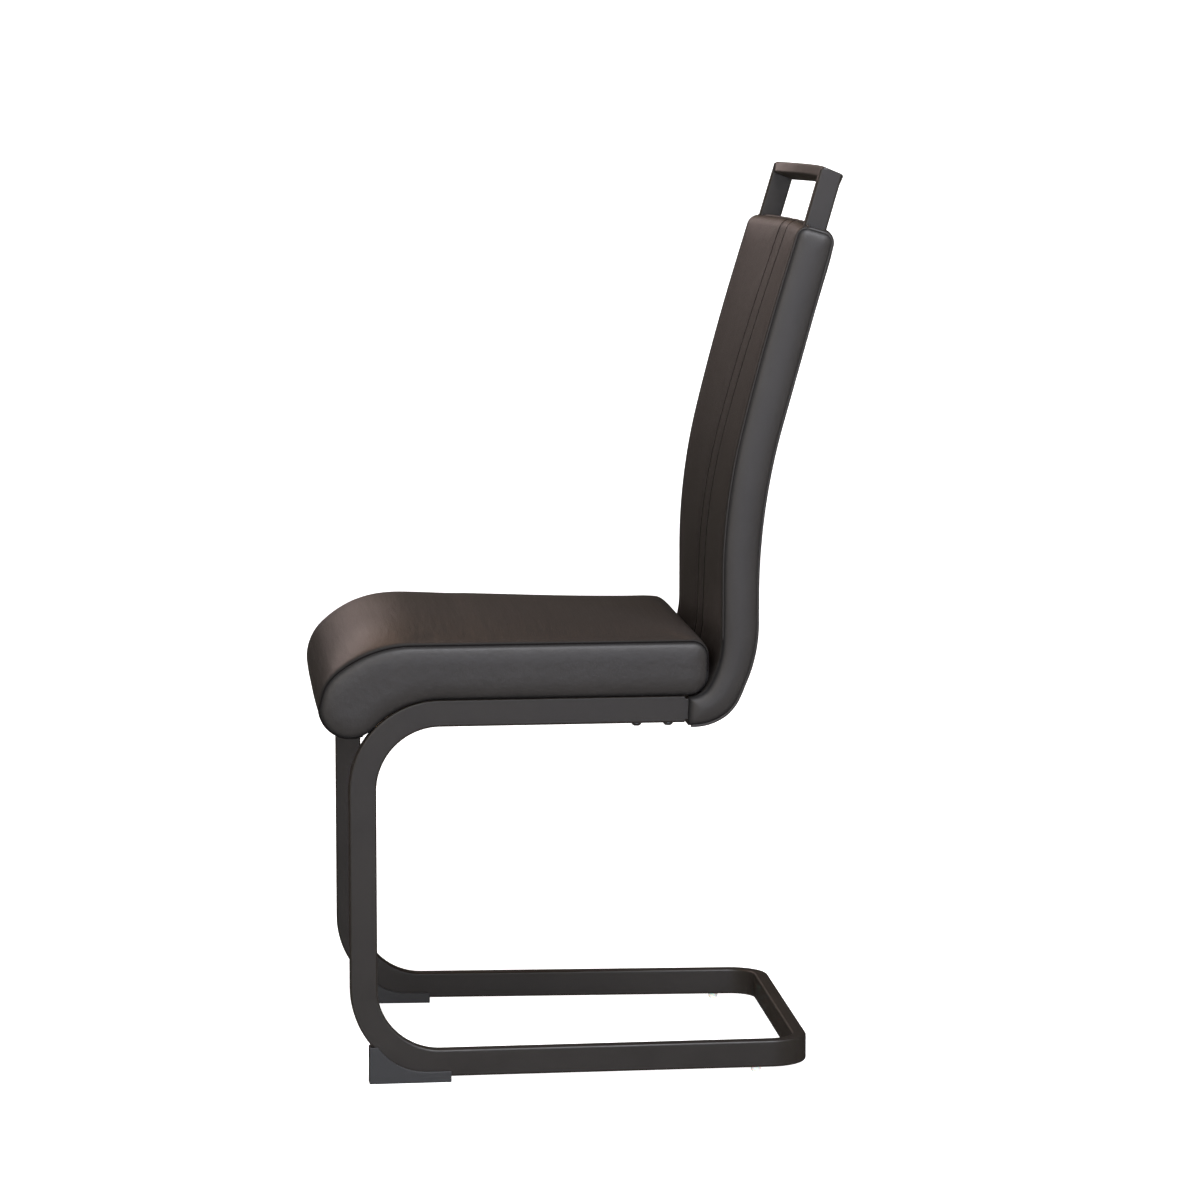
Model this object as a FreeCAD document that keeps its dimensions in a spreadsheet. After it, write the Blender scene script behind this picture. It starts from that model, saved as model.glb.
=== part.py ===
import FreeCAD, Part
import Sketcher
import math
import os
import re

# Cantilever dining chair. X runs across the chair, -Y is the front, +Z is up.
# The origin is on the floor, in the middle of the chair's box. Lengths are in millimetres.

doc = FreeCAD.newDocument("CantileverChair")

# Driving dimensions: alias, value, what it measures.
DIMENSIONS = [
    ("leg_front", -259.5, "Y of the front face of the legs"),
    ("frame_width", 440, "outside width across the front legs"),
    ("toe_angle", 1.86, "how far each side frame turns in towards the back, degrees"),
    ("tube_height", 30, "frame tube, measured in the side view"),
    ("tube_width", 16, "frame tube, measured across the chair"),
    ("tube_wall", 1.5, "wall of the steel tubes"),
    ("tube_edge", 2.5, "rounded edge of the frame tube"),
    ("bend_outer", 100, "outer radius of the four big bends"),
    ("seat_rail_top", 425, "top of the seat rails"),
    ("seat_rail_length", 369.4, "seat rail, from the legs' front to its open rear end"),
    ("foot_gap", 6, "floor rails' height above the floor"),
    ("base_depth", 512.2, "from the legs' front to the rear face of the base"),
    ("weld_ahead", 92.2, "weld in the floor rail, ahead of the base's rear face"),
    ("base_corner", 45, "outer radius of the base's rear corners"),
    ("seat_tube_depth", 25, "cross tube under the seat, front to back"),
    ("seat_tube_height", 20, "cross tube under the seat, its height"),
    ("front_seat_tube_at", 130, "front cross tube's middle, from the legs' front"),
    ("rear_seat_tube_ahead", 39.4, "rear cross tube's middle, ahead of the seat rails' ends"),
    ("cloth_thick", 0.8, "black cloth under the seat board"),
    ("weld_gap", 0.2, "room left for a weld bead"),
    ("board_thick", 12, "bent plywood seat board"),
    ("board_inset", 3, "seat board's edge, in from the side frames' outer faces"),
    ("board_front_gap", 1.5, "between the board's front edge and the cover's hem"),
    ("board_overhang", 2.1, "seat board's rear edge, behind the seat rails' ends"),
    ("seat_thick", 62, "side height of the seat pad"),
    ("seat_rear_gap", 1.2, "between the seat pad's lower rear edge and the back pad"),
    ("nose_reach", 32.1, "seat pad's front, ahead of the legs"),
    ("nose_radius", 48, "upper front of the nose"),
    ("nose_blend", 132, "slow curve from the nose to the seat's top"),
    ("nose_turn", 40, "how far the slow curve turns, degrees"),
    ("seat_rear_radius", 15, "upper rear edge of the seat pad"),
    ("crown_front", 14.5, "how far the seat's top swells at the front"),
    ("crown_rear", 6, "how far the seat's top swells at the rear"),
    ("crown_from", 150, "where the swelling starts to flatten, from the legs' front"),
    ("side_bulge", 8, "how far the seat's side panels swell"),
    ("side_reach", 12.5, "how far in from its seam a side panel reaches its full swell"),
    ("cover_thick", 1.2, "imitation leather with its backing"),
    ("soft_gap", 0.3, "room between one soft piece and the next"),
    ("welt_radius", 1.1, "piping along the seams"),
    ("welt_under_turn", 65, "how far the seat's piping runs round under the nose, degrees"),
    ("handle_depth", 25, "back frame tube, front to back"),
    ("handle_thick", 12.4, "back frame tube, its thin way"),
    ("handle_edge", 2.5, "rounded edge of the back frame tube"),
    ("handle_width", 380, "outside width of the handle"),
    ("handle_bow", 11, "how far the handle bar bows back in the middle"),
    ("upright_insert", 70, "length of upright inside the seat rail"),
    ("upright_bend", 58, "middle radius of the upright's lower bend"),
    ("upright_bend_start", 2.6, "straight length between the rail and the upright's bend"),
    ("upright_straight", 81.9, "plumb length of the upright"),
    ("lean_radius", 700, "middle radius where the upright starts to lean"),
    ("lean_angle", 16.4, "lean of the back frame, degrees"),
    ("upright_top", 260.7, "leaning straight length of the upright"),
    ("pad_start_gap", 4.1, "bare upright between the seat rail and the back pad"),
    ("pad_low_radius", 24, "inner curve at the foot of the back pad's front"),
    ("pad_foot_turn", 60, "how far the curves at the pad's foot turn, degrees"),
    ("pad_rise_radius", 105, "curve above it, up to plumb"),
    ("pad_front_plumb", 59.5, "plumb length of the pad's front"),
    ("pad_lean_radius", 711, "curve where the pad's front starts to lean"),
    ("pad_lean_turn", 13.4, "how far that curve turns, degrees"),
    ("pad_upper_radius", 2780, "slow curve of the pad's upper front"),
    ("pad_upper_turn", 3.6, "how far the slow curve turns, degrees"),
    ("pad_rear_level", 6.5, "level start of the pad's rear face under the uprights"),
    ("pad_rear_low_radius", 58, "curve at the foot of the back pad's rear"),
    ("pad_rear_rise_radius", 165, "curve above it, up to plumb"),
    ("pad_rear_plumb", 30, "plumb length of the pad's rear"),
    ("pad_rear_lean_radius", 700, "curve where the pad's rear starts to lean"),
    ("pad_rear_lean", 15.5, "lean of the pad's rear, degrees"),
    ("pad_front_edge", 10, "rounding of the pad's upper front edge"),
    ("pad_rear_edge", 25, "rounding of the pad's upper rear edge"),
    ("pad_sweep", 16, "how far the top of the back pad curves back in the middle"),
    ("pad_top_drop", 61.8, "back pad's top, down the lean from the handle's top"),
    ("pad_bulge", 7, "how far the back's side panels swell"),
    ("back_welt_rise", 16, "where the back's piping starts, up the pad's rising curve, degrees"),
    ("seam_spacing", 54, "between the two seams down the back's front"),
    ("back_board_thick", 8, "curved plywood panel in the back"),
    ("back_board_inset", 24, "back panel's edge, in from the handle's outside"),
    ("back_board_depth", 12, "back panel, in from the pad's front"),
    ("back_foam_thin", 4.8, "front foam's depth over the uprights"),
    ("back_foam_step", 10, "slope from the thick foam to the thin, across the chair"),
    ("back_rear_foam_thick", 5.5, "foam behind the back frame"),
    ("back_board_gap", 0.7, "between the back panel and the cross tubes"),
    ("back_tube_size", 12, "cross tube in the back, front to back"),
    ("back_tube_tall", 20, "cross tube in the back, its height"),
    ("back_tube_wall", 1.2, "wall of the cross tubes in the back"),
    ("back_tube_low", 520, "lower cross tube in the back, above the floor"),
    ("back_tube_high", 850, "upper cross tube in the back, above the floor"),
    ("back_board_top_drop", 45, "back panel's top, below the pad's top"),
    ("back_foam_top_drop", 27, "back foams' top, below the pad's top"),
    ("bolt_radius", 3, "seat bolts and rail screws"),
    ("bolt_room", 0.15, "radial room round each screw"),
    ("bolt_spacing", 280, "between the seat bolts of one cross tube"),
    ("bolt_head_radius", 5.5, "button head of the bolts"),
    ("bolt_head_tall", 3.3, "height of the button head"),
    ("washer_radius", 7, "seat washers"),
    ("washer_thick", 1.6, "seat washers"),
    ("tee_flange_radius", 9, "tee nut's flange"),
    ("tee_flange_thick", 1.2, "tee nut's flange"),
    ("tee_barrel_radius", 4, "tee nut's barrel"),
    ("tee_barrel_tall", 8, "tee nut's barrel, below its flange"),
    ("panel_screw_radius", 2, "screws of the back panel"),
    ("panel_screw_reach", 6, "panel screw's length in the plywood"),
    ("panel_screw_spacing", 120, "between the screws of one back tube"),
    ("panel_head_radius", 4, "panel screw's head"),
    ("panel_head_tall", 2.2, "panel screw's head"),
    ("foot_front", 20.7, "front shoe's front face, from the legs' front"),
    ("foot_length", 90.1, "front shoe, front to back"),
    ("foot_tall", 40.6, "front shoe at its front"),
    ("foot_rear_tall", 12, "front shoe's side wall at its rear"),
    ("foot_wall", 1.6, "front shoe's side wall"),
    ("foot_room", 0.1, "room between the shoe and the tube"),
    ("foot_curve", 65.5, "radius of the shoe's upper edge"),
    ("foot_curve_start", 63.5, "where that curve starts, behind the shoe's front"),
    ("foot_screw_at", 103, "shoe's screw, from the legs' front"),
    ("foot_screw_radius", 1.75, "shoe's screw"),
    ("foot_head_radius", 3.2, "shoe's screw, its head"),
    ("foot_head_tall", 2, "shoe's screw, its head"),
    ("foot_head_depth", 3.2, "how deep the shoe's screw head is sunk"),
    ("glide_ahead", 61.3, "rear glides, ahead of the base's rear face"),
    ("glide_radius", 5.5, "rear glide, under the tube"),
    ("glide_foot_radius", 4.5, "rear glide, on the floor"),
    ("glide_stem_radius", 3, "rear glide's stem in the tube"),
    ("glide_stem_tall", 7, "rear glide's stem"),
]

sheet = doc.addObject("Spreadsheet::Sheet", "Sizes")
for row, (alias, number, meaning) in enumerate(DIMENSIONS, start=1):
    sheet.set(f"A{row}", meaning)
    sheet.set(f"B{row}", str(number))
    sheet.setAlias(f"B{row}", alias)
doc.recompute()
ALIASES = {alias for alias, number, meaning in DIMENSIONS}


def bound(formula):
    """The formula with every size's name pointing at its cell in the sheet."""
    return re.sub(r"[a-z_]+", lambda word: "Sizes." * (word.group() in ALIASES) + word.group(), str(formula))


def value(formula):
    """What a formula of size names comes to, in millimetres or degrees."""
    result = sheet.evalExpression(bound(formula))
    return float(getattr(result, "Value", result))


class Sizes:
    """Each size of the sheet as an attribute."""

    def __getattr__(self, alias):
        return value(alias)


size = Sizes()
PARTS = []

# Places that several pieces share, as formulas of the sheet's names.
HALF = "(frame_width / 2)"
WELD_DEPTH = "(base_depth - weld_ahead)"
GLIDE_AT = "(base_depth - glide_ahead)"
REAR_SEAT_TUBE_AT = "(seat_rail_length - rear_seat_tube_ahead)"
BEND_INNER = "(bend_outer - tube_height)"
RAIL_BOTTOM = "(seat_rail_top - tube_height)"
FLOOR_RAIL_TOP = "(foot_gap + tube_height)"
SEAT_TUBE_TOP = "(seat_rail_top - cloth_thick)"
BOARD_TOP = "(seat_rail_top + board_thick)"
STUB_MIDDLE = "(seat_rail_top - tube_height + tube_wall + weld_gap + handle_depth / 2)"


def half_width(depth):
    """Outer face of the side frames, from the middle, at a depth behind the legs' front."""
    return size.frame_width / 2 - depth * math.tan(math.radians(size.toe_angle))


def keep(shape_object, label):
    """Counts an object as one of the chair's pieces."""
    shape_object.Label = label
    PARTS.append(shape_object)
    return shape_object


def new_body(name):
    return doc.addObject("PartDesign::Body", name)


def new_sketch(body, name, plane_role):
    """A sketch on one of the body's own origin planes."""
    sketch = body.newObject("Sketcher::SketchObject", name)
    plane = [feature for feature in body.Origin.OriginFeatures if feature.Role == plane_role][0]
    sketch.AttachmentSupport = [(plane, "")]
    sketch.MapMode = "FlatFace"
    return sketch


def pin_point(sketch, edge, end, place):
    """Holds one end of a sketch edge at a place given by two formulas."""
    for kind, formula in zip(("DistanceX", "DistanceY"), place):
        index = sketch.addConstraint(Sketcher.Constraint(kind, edge, end, value(formula)))
        sketch.setExpression(f"Constraints[{index}]", bound(formula))


def arc_between(start, end, radius, turn):
    """Arc of less than half a circle; turn 1 runs counterclockwise, -1 clockwise."""
    chord = end - start
    rise = math.sqrt(max(radius ** 2 - chord.Length ** 2 / 4, 0))
    across = FreeCAD.Vector(-chord.y, chord.x, 0).normalize()
    centre = (start + end) * 0.5 + across * rise * turn
    first, last = (start, end) if turn > 0 else (end, start)
    low = math.atan2(first.y - centre.y, first.x - centre.x)
    high = math.atan2(last.y - centre.y, last.x - centre.x)
    if high < low:
        high += 2 * math.pi
    return Part.ArcOfCircle(Part.Circle(centre, FreeCAD.Vector(0, 0, 1), radius), low, high)


def outline(sketch, corners):
    """Closed outline. A corner is (x, y), or (x, y, radius, turn) when an arc leads to it."""
    places = [FreeCAD.Vector(value(corner[0]), value(corner[1]), 0) for corner in corners]
    ends = []
    for index, corner in enumerate(corners):
        start = places[index - 1]
        if len(corner) == 2:
            edge = sketch.addGeometry(Part.LineSegment(start, places[index]), False)
            ends.append((edge, 1, 2))
        else:
            radius, turn = corner[2], corner[3]
            arc = arc_between(start, places[index], value(radius), turn)
            edge = sketch.addGeometry(arc, False)
            ends.append((edge, 1, 2) if turn > 0 else (edge, 2, 1))
    for index, (edge, first, last) in enumerate(ends):
        following, joined = ends[(index + 1) % len(ends)][:2]
        sketch.addConstraint(Sketcher.Constraint("Coincident", edge, last, following, joined))
    for (edge, first, last), corner in zip(ends, corners):
        pin_point(sketch, edge, last, corner)
        if len(corner) == 4:
            index = sketch.addConstraint(Sketcher.Constraint("Radius", edge, value(corner[2])))
            sketch.setExpression(f"Constraints[{index}]", bound(corner[2]))
    return sketch


def pad(body, sketch, length, both_ways=True):
    feature = body.newObject("PartDesign::Pad", sketch.Name + "Pad")
    feature.Profile = sketch
    feature.SideType = "Symmetric" if both_ways else "One side"
    feature.setExpression("Length", bound(length))
    doc.recompute()
    return feature


def pocket(body, sketch, length):
    """Cuts a sketch's shape, half of the length to each side of its plane."""
    before = body.Shape.Volume
    feature = body.newObject("PartDesign::Pocket", sketch.Name + "Pocket")
    feature.Profile = sketch
    feature.SideType = "Symmetric"
    feature.setExpression("Length", bound(length))
    doc.recompute()
    if body.Shape.Volume > before - 0.01:
        raise RuntimeError(sketch.Name + " cuts nothing")
    return feature


def round_edges(body, radius, wanted):
    """Fillets the edges of the body's last feature that the test picks."""
    base = body.Tip
    names = [f"Edge{i}" for i, edge in enumerate(base.Shape.Edges, start=1) if wanted(edge)]
    feature = body.newObject("PartDesign::Fillet", body.Name + "Edges")
    feature.Base = (base, names)
    feature.setExpression("Radius", bound(radius))
    doc.recompute()
    return feature


def place(thing, position, angle="0"):
    """Moves a piece to a place given by formulas, turned about the upright axis."""
    for letter, formula in zip("xyz", position):
        thing.setExpression(f"Placement.Base.{letter}", bound(formula))
    thing.setExpression("Placement.Rotation.Angle", bound(angle))


def on_skin(edge, half, axis):
    """True for an edge that lies in one of the tube's two flat skins."""
    return all(abs(abs(getattr(vertex.Point, axis)) - half) < 0.01 for vertex in edge.Vertexes)


# Frame: two side tubes bent to a C and a U that joins them on the floor.

def side_frame_place(body, side):
    """Turns a side frame in and puts its front outer corner at the legs' front."""
    across = f"{side} * ({HALF} - tube_width / 2 * cos(toe_angle))"
    place(body, (across, "leg_front - tube_width / 2 * sin(toe_angle)", "0"), f"{side} * toe_angle")


RAIL_END = "(seat_rail_length / cos(toe_angle))"
WELD_END = f"({WELD_DEPTH} / cos(toe_angle))"


def bent_side(inset):
    """Side view of the C tube, its walls moved in by the inset."""
    outer = f"(bend_outer - {inset})"
    inner = f"({BEND_INNER} + {inset})"
    top, below_top = f"seat_rail_top - {inset}", f"{RAIL_BOTTOM} + {inset}"
    low, above_low = f"foot_gap + {inset}", f"{FLOOR_RAIL_TOP} - {inset}"
    upper, lower = "seat_rail_top - bend_outer", "foot_gap + bend_outer"
    return [
        (RAIL_END, below_top),
        (RAIL_END, top),
        ("bend_outer", top),
        (inset, upper, outer, 1),
        (inset, lower),
        ("bend_outer", low, outer, 1),
        (WELD_END, low),
        (WELD_END, above_low),
        ("bend_outer", above_low),
        (f"tube_height - {inset}", lower, inner, -1),
        (f"tube_height - {inset}", upper),
        ("bend_outer", below_top, inner, -1),
    ]


def screw_hole(body, name, spots, radius, plane_role="XY_Plane"):
    """Round holes through the whole body, square to one of its planes."""
    sketch = new_sketch(body, name, plane_role)
    for spot in spots:
        centre = FreeCAD.Vector(value(spot[0]), value(spot[1]), 0)
        circle = Part.Circle(centre, FreeCAD.Vector(0, 0, 1), value(radius))
        edge = sketch.addGeometry(circle, False)
        pin_point(sketch, edge, 3, spot)
        index = sketch.addConstraint(Sketcher.Constraint("Radius", edge, value(radius)))
        sketch.setExpression(f"Constraints[{index}]", bound(radius))
    return sketch


RAIL_SCREWS = ["seat_rail_length - upright_insert / 4", "seat_rail_length - upright_insert * 3 / 4"]


def drill_up(body, name, spots, radius, low, high):
    """Cuts round holes that run up from one height to another."""
    sketch = screw_hole(body, name, spots, radius)
    sketch.AttachmentOffset = FreeCAD.Placement(FreeCAD.Vector(0, 0, value(low)), FreeCAD.Rotation())
    sketch.setExpression("AttachmentOffset.Base.z", bound(f"(({low}) + ({high})) / 2"))
    doc.recompute()
    return pocket(body, sketch, f"({high}) - ({low})")


def make_side_tube(side, hand):
    body = new_body("SideTube" + hand)
    pad(body, outline(new_sketch(body, "SideOutline" + hand, "YZ_Plane"), bent_side("0")), "tube_width")
    half = size.tube_width / 2
    round_edges(body, "tube_edge", lambda edge: on_skin(edge, half, "x") and not is_end_edge(edge))
    inner = outline(new_sketch(body, "SideBore" + hand, "YZ_Plane"), bent_side("tube_wall"))
    pocket(body, inner, "tube_width - 2 * tube_wall")
    spots = [("0", f"({at}) / cos(toe_angle)") for at in RAIL_SCREWS]
    drill_up(body, "RailScrewHoles" + hand, spots, "bolt_radius + bolt_room",
             f"{RAIL_BOTTOM} - 1", f"{RAIL_BOTTOM} + tube_wall + 1")
    drill_up(body, "ShoeScrewHole" + hand, [("0", "foot_screw_at")], "foot_screw_radius + bolt_room",
             "foot_gap - 1", "foot_gap + tube_wall + 1")
    side_frame_place(body, side)
    return keep(body, "side_tube_" + hand.lower())


def is_end_edge(edge):
    """True for the short edges across the open ends of the C tube."""
    first, last = edge.Vertexes[0].Point, edge.Vertexes[-1].Point
    at_rail = abs(first.y - value(RAIL_END)) < 0.01 and abs(last.y - value(RAIL_END)) < 0.01
    at_weld = abs(first.y - value(WELD_END)) < 0.01 and abs(last.y - value(WELD_END)) < 0.01
    return at_rail or at_weld


for side, hand in ((1, "Left"), (-1, "Right")):
    make_side_tube(side, hand)


GLIDE_X = f"({HALF} - {GLIDE_AT} * tan(toe_angle) - tube_width / 2)"


def base_outline(inset):
    """Plan of the rear base tube, its walls moved in by the inset."""
    corner = f"(base_corner - {inset})"
    inner = f"(base_corner - tube_width + {inset})"
    reach = "tan(45 - toe_angle / 2)"
    slope = "tan(toe_angle)"
    outer_x = f"({HALF} - {inset} / cos(toe_angle))"
    inner_x = f"({HALF} - (tube_width - {inset}) / cos(toe_angle))"
    outer_y = f"(base_depth - {inset})"
    inner_y = f"(base_depth - tube_width + {inset})"
    end_out = f"({WELD_DEPTH} - {inset} * sin(toe_angle))"
    end_in = f"({WELD_DEPTH} - (tube_width - {inset}) * sin(toe_angle))"

    def side_points(sign, wall_x, wall_y, radius, end_y):
        bend_y = f"({wall_y} - {radius} * {reach} * cos(toe_angle))"
        bend_x = f"({wall_x} - {bend_y} * {slope})"
        back_x = f"({wall_x} - {wall_y} * {slope} - {radius} * {reach})"
        end_x = f"({wall_x} - {end_y} * {slope})"
        return [(f"{sign} * {x}", y) for x, y in ((end_x, end_y), (bend_x, bend_y), (back_x, wall_y))]

    right_out = side_points(1, outer_x, outer_y, corner, end_out)
    left_out = side_points(-1, outer_x, outer_y, corner, end_out)
    right_in = side_points(1, inner_x, inner_y, inner, end_in)
    left_in = side_points(-1, inner_x, inner_y, inner, end_in)
    return [
        right_out[0],
        right_out[1],
        right_out[2] + (corner, 1),
        left_out[2],
        left_out[1] + (corner, 1),
        left_out[0],
        left_in[0],
        left_in[1],
        left_in[2] + (inner, -1),
        right_in[2],
        right_in[1] + (inner, -1),
        right_in[0],
    ]


def make_rear_floor_tube():
    body = new_body("RearFloorTube")
    middle = "foot_gap + tube_height / 2"
    pad(body, outline(new_sketch(body, "BaseOutline", "XY_Plane"), base_outline("0")), "tube_height")

    def along(edge):
        points = [vertex.Point for vertex in edge.Vertexes]
        at_ends = all(point.y < value(WELD_DEPTH) + 0.01 for point in points)
        return on_skin(edge, size.tube_height / 2, "z") and not at_ends

    round_edges(body, "tube_edge", along)
    bore = outline(new_sketch(body, "BaseBore", "XY_Plane"), base_outline("tube_wall"))
    pocket(body, bore, "tube_height - 2 * tube_wall")
    spots = [(f"{sign} * {GLIDE_X}", GLIDE_AT) for sign in (1, -1)]
    drill_up(body, "GlideHoles", spots, "glide_stem_radius + bolt_room",
             "-tube_height / 2 - 1", "-tube_height / 2 + tube_wall + 1")
    place(body, ("0", "leg_front", middle))
    return keep(body, "rear_floor_tube")


make_rear_floor_tube()


# Seat cross tubes: two square-cut tubes welded between the seat rails, drilled for the seat bolts.

def make_seat_cross_tube(name, label, at):
    body = new_body(name)
    front, rear = "(-seat_tube_depth / 2)", "(seat_tube_depth / 2)"
    inside = f"({HALF} - tube_width / cos(toe_angle) - weld_gap)"

    def plan(wall, past):
        corners = [(1, front, wall), (1, rear, f"-({wall})"), (-1, rear, f"-({wall})"), (-1, front, wall)]
        return [
            (f"{sign} * ({inside} + {past} - ({at} + {edge}) * tan(toe_angle))", f"{edge} + {move}")
            for sign, edge, move in corners
        ]

    pad(body, outline(new_sketch(body, name + "Plan", "XY_Plane"), plan("0", "0")), "seat_tube_height")
    bore = outline(new_sketch(body, name + "Bore", "XY_Plane"), plan("tube_wall", "1"))
    pocket(body, bore, "seat_tube_height - 2 * tube_wall")
    spots = [("bolt_spacing / 2", "0"), ("-bolt_spacing / 2", "0")]
    pocket(body, screw_hole(body, name + "Holes", spots, "bolt_radius + bolt_room"), "seat_tube_height + 2")
    place(body, ("0", f"leg_front + {at}", f"{SEAT_TUBE_TOP} - seat_tube_height / 2"))
    return keep(body, label)


make_seat_cross_tube("FrontSeatTube", "front_seat_cross_tube", "front_seat_tube_at")
make_seat_cross_tube("RearSeatTube", "rear_seat_cross_tube", REAR_SEAT_TUBE_AT)


# Turned pieces: one master of each, and groups of copies where the chair has several.

def spun(name, corners):
    """A body turned about its upright axis from an outline of (radius, height) corners."""
    body = new_body(name)
    sketch = outline(new_sketch(body, name + "Outline", "XZ_Plane"), corners)
    feature = body.newObject("PartDesign::Revolution", name + "Turn")
    feature.Profile = sketch
    feature.ReferenceAxis = (sketch, ["V_Axis"])
    feature.Angle = 360
    doc.recompute()
    return body


def group(label, master, placements):
    """Separate copies of a master piece, kept together under one name."""
    copies = doc.addObject("Part::Feature", label.title().replace("_", ""))
    shape = master.Shape.copy()
    shape.Placement = FreeCAD.Placement()
    solids = []
    for placement in placements:
        copy = shape.copy()
        copy.Placement = placement
        solids.append(copy)
    copies.Shape = Part.makeCompound(solids)
    return keep(copies, label)


def button_screw(name, radius, length, head_radius="bolt_head_radius", head_tall="bolt_head_tall"):
    """A domed head below the origin with a socket in it, and a shank that runs up from the origin."""
    socket = f"({head_radius} * 0.36)"
    return spun(name, [
        (socket, f"-({head_tall})"),
        (f"({head_radius} * 0.6)", f"-({head_tall})"),
        (head_radius, f"-({head_tall}) * 0.25", f"({head_radius} * 0.75)", 1),
        (head_radius, "0"),
        (radius, "0"),
        (radius, f"{length} - 0.5"),
        (f"{radius} - 0.5", length),
        ("0", length),
        ("0", f"-({head_tall}) * 0.4"),
        (socket, f"-({head_tall}) * 0.4"),
    ])


def at_point(x, y, z, axis=(0, 0, 1), angle=0):
    rotation = FreeCAD.Rotation(FreeCAD.Vector(*axis), angle)
    return FreeCAD.Placement(FreeCAD.Vector(x, y, z), rotation)


SEAT_BOLT_SPOTS = [
    (side * size.bolt_spacing / 2, size.leg_front + at)
    for at in (size.front_seat_tube_at, value(REAR_SEAT_TUBE_AT)) for side in (1, -1)
]
tube_low = value(f"{SEAT_TUBE_TOP} - seat_tube_height")
bolt_low = tube_low - size.washer_thick
through_board = "board_thick - tee_flange_thick + cloth_thick"
bolt_length = f"{through_board} + seat_tube_height + washer_thick"
seat_bolt = button_screw("SeatBolt", "bolt_radius", bolt_length)
group("seat_bolts", seat_bolt, [at_point(x, y, bolt_low) for x, y in SEAT_BOLT_SPOTS])
washer = spun("SeatWasher", [
    ("bolt_radius + bolt_room", "0"),
    ("washer_radius", "0"),
    ("washer_radius", "washer_thick"),
    ("bolt_radius + bolt_room", "washer_thick"),
])
group("seat_washers", washer, [at_point(x, y, bolt_low) for x, y in SEAT_BOLT_SPOTS])
tee_nut = spun("TeeNut", [
    ("bolt_radius + bolt_room / 3", "-tee_barrel_tall"),
    ("tee_barrel_radius", "-tee_barrel_tall"),
    ("tee_barrel_radius", "-tee_flange_thick"),
    ("tee_flange_radius", "-tee_flange_thick"),
    ("tee_flange_radius", "0"),
    ("bolt_radius + bolt_room / 3", "0"),
])
group("seat_tee_nuts", tee_nut, [at_point(x, y, value(BOARD_TOP)) for x, y in SEAT_BOLT_SPOTS])


# Soft and plywood pieces: side profiles of tangent lines and arcs, lofted across the chair.

def route(start, heading, steps, offset=0.0):
    """Tangent lines and arcs from a start point. A step is a length, or (radius, turn in degrees).

    A turn to the left is positive. The whole route is moved to its left by the offset.
    Gives a list of pieces, each with the two ends of a line or three points of an arc.
    """
    pieces = []
    angle = math.radians(heading)
    y, z = start[0] - offset * math.sin(angle), start[1] + offset * math.cos(angle)
    for step in steps:
        if isinstance(step, tuple):
            side = math.copysign(1, step[1])
            radius = step[0] - side * offset
            turn = math.radians(step[1])
            centre = (y - side * radius * math.sin(angle), z + side * radius * math.cos(angle))
            points = [(y, z)]
            for part in (0.5, 1.0):
                ahead = angle + turn * part
                y = centre[0] + side * radius * math.sin(ahead)
                z = centre[1] - side * radius * math.cos(ahead)
                points.append((y, z))
            angle += turn
        else:
            points = [(y, z)]
            y, z = y + step * math.cos(angle), z + step * math.sin(angle)
            points.append((y, z))
        pieces.append(points)
    return pieces


def joined(*routes):
    """One closed outline from several routes, with lines across the gaps."""
    pieces = [piece for one in routes for piece in one]
    closed = []
    for index, piece in enumerate(pieces):
        following = pieces[(index + 1) % len(pieces)][0]
        closed.append(piece)
        if math.dist(piece[-1], following) > 0.001:
            closed.append([piece[-1], following])
    return closed


def backwards(pieces):
    return [piece[::-1] for piece in pieces[::-1]]


def wire(pieces, to_space):
    """A wire of lines and arcs, each point carried into space."""
    edges = []
    for piece in pieces:
        points = [to_space(*point) for point in piece]
        if len(points) == 2:
            edges.append(Part.makeLine(*points))
        else:
            edges.append(Part.Arc(*points).toShape())
    return Part.Wire(edges)


def loft(wires, ruled=False):
    solid = Part.makeLoft(wires, True, ruled)
    if solid.Volume < 0:
        solid.reverse()
    return solid


def soft_piece(label, shape):
    """A piece whose lofted form no single feature makes."""
    if shape.ShapeType == "Compound" and len(shape.Solids) == 1:
        shape = shape.Solids[0]
    feature = doc.addObject("Part::Feature", label.title().replace("_", ""))
    feature.Shape = shape
    return keep(feature, label)


# Back frame: two bent uprights pushed into the seat rails, and the handle mitred between them.

STUB_Z = value(STUB_MIDDLE)
LEAN = math.radians(size.lean_angle)
TOE = math.radians(size.toe_angle)
AXIS_TOP = (
    size.seat_rail_length + size.upright_bend_start + size.upright_bend
    + size.lean_radius * (1 - math.cos(LEAN)) + size.upright_top * math.sin(LEAN),
    STUB_Z + size.upright_bend + size.upright_straight
    + size.lean_radius * math.sin(LEAN) + size.upright_top * math.cos(LEAN),
)
RAIL_END_X = half_width(size.seat_rail_length) - size.tube_width / 2 * math.cos(TOE)
RAIL_END_Y = size.leg_front - size.tube_width / 2 * math.sin(TOE) + size.seat_rail_length
lean_in = RAIL_END_X + size.handle_thick / 2 - size.handle_width / 2
lean_in -= (AXIS_TOP[0] - size.seat_rail_length) * math.sin(TOE)
TILT = math.asin(lean_in / (AXIS_TOP[1] - STUB_Z))


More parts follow.
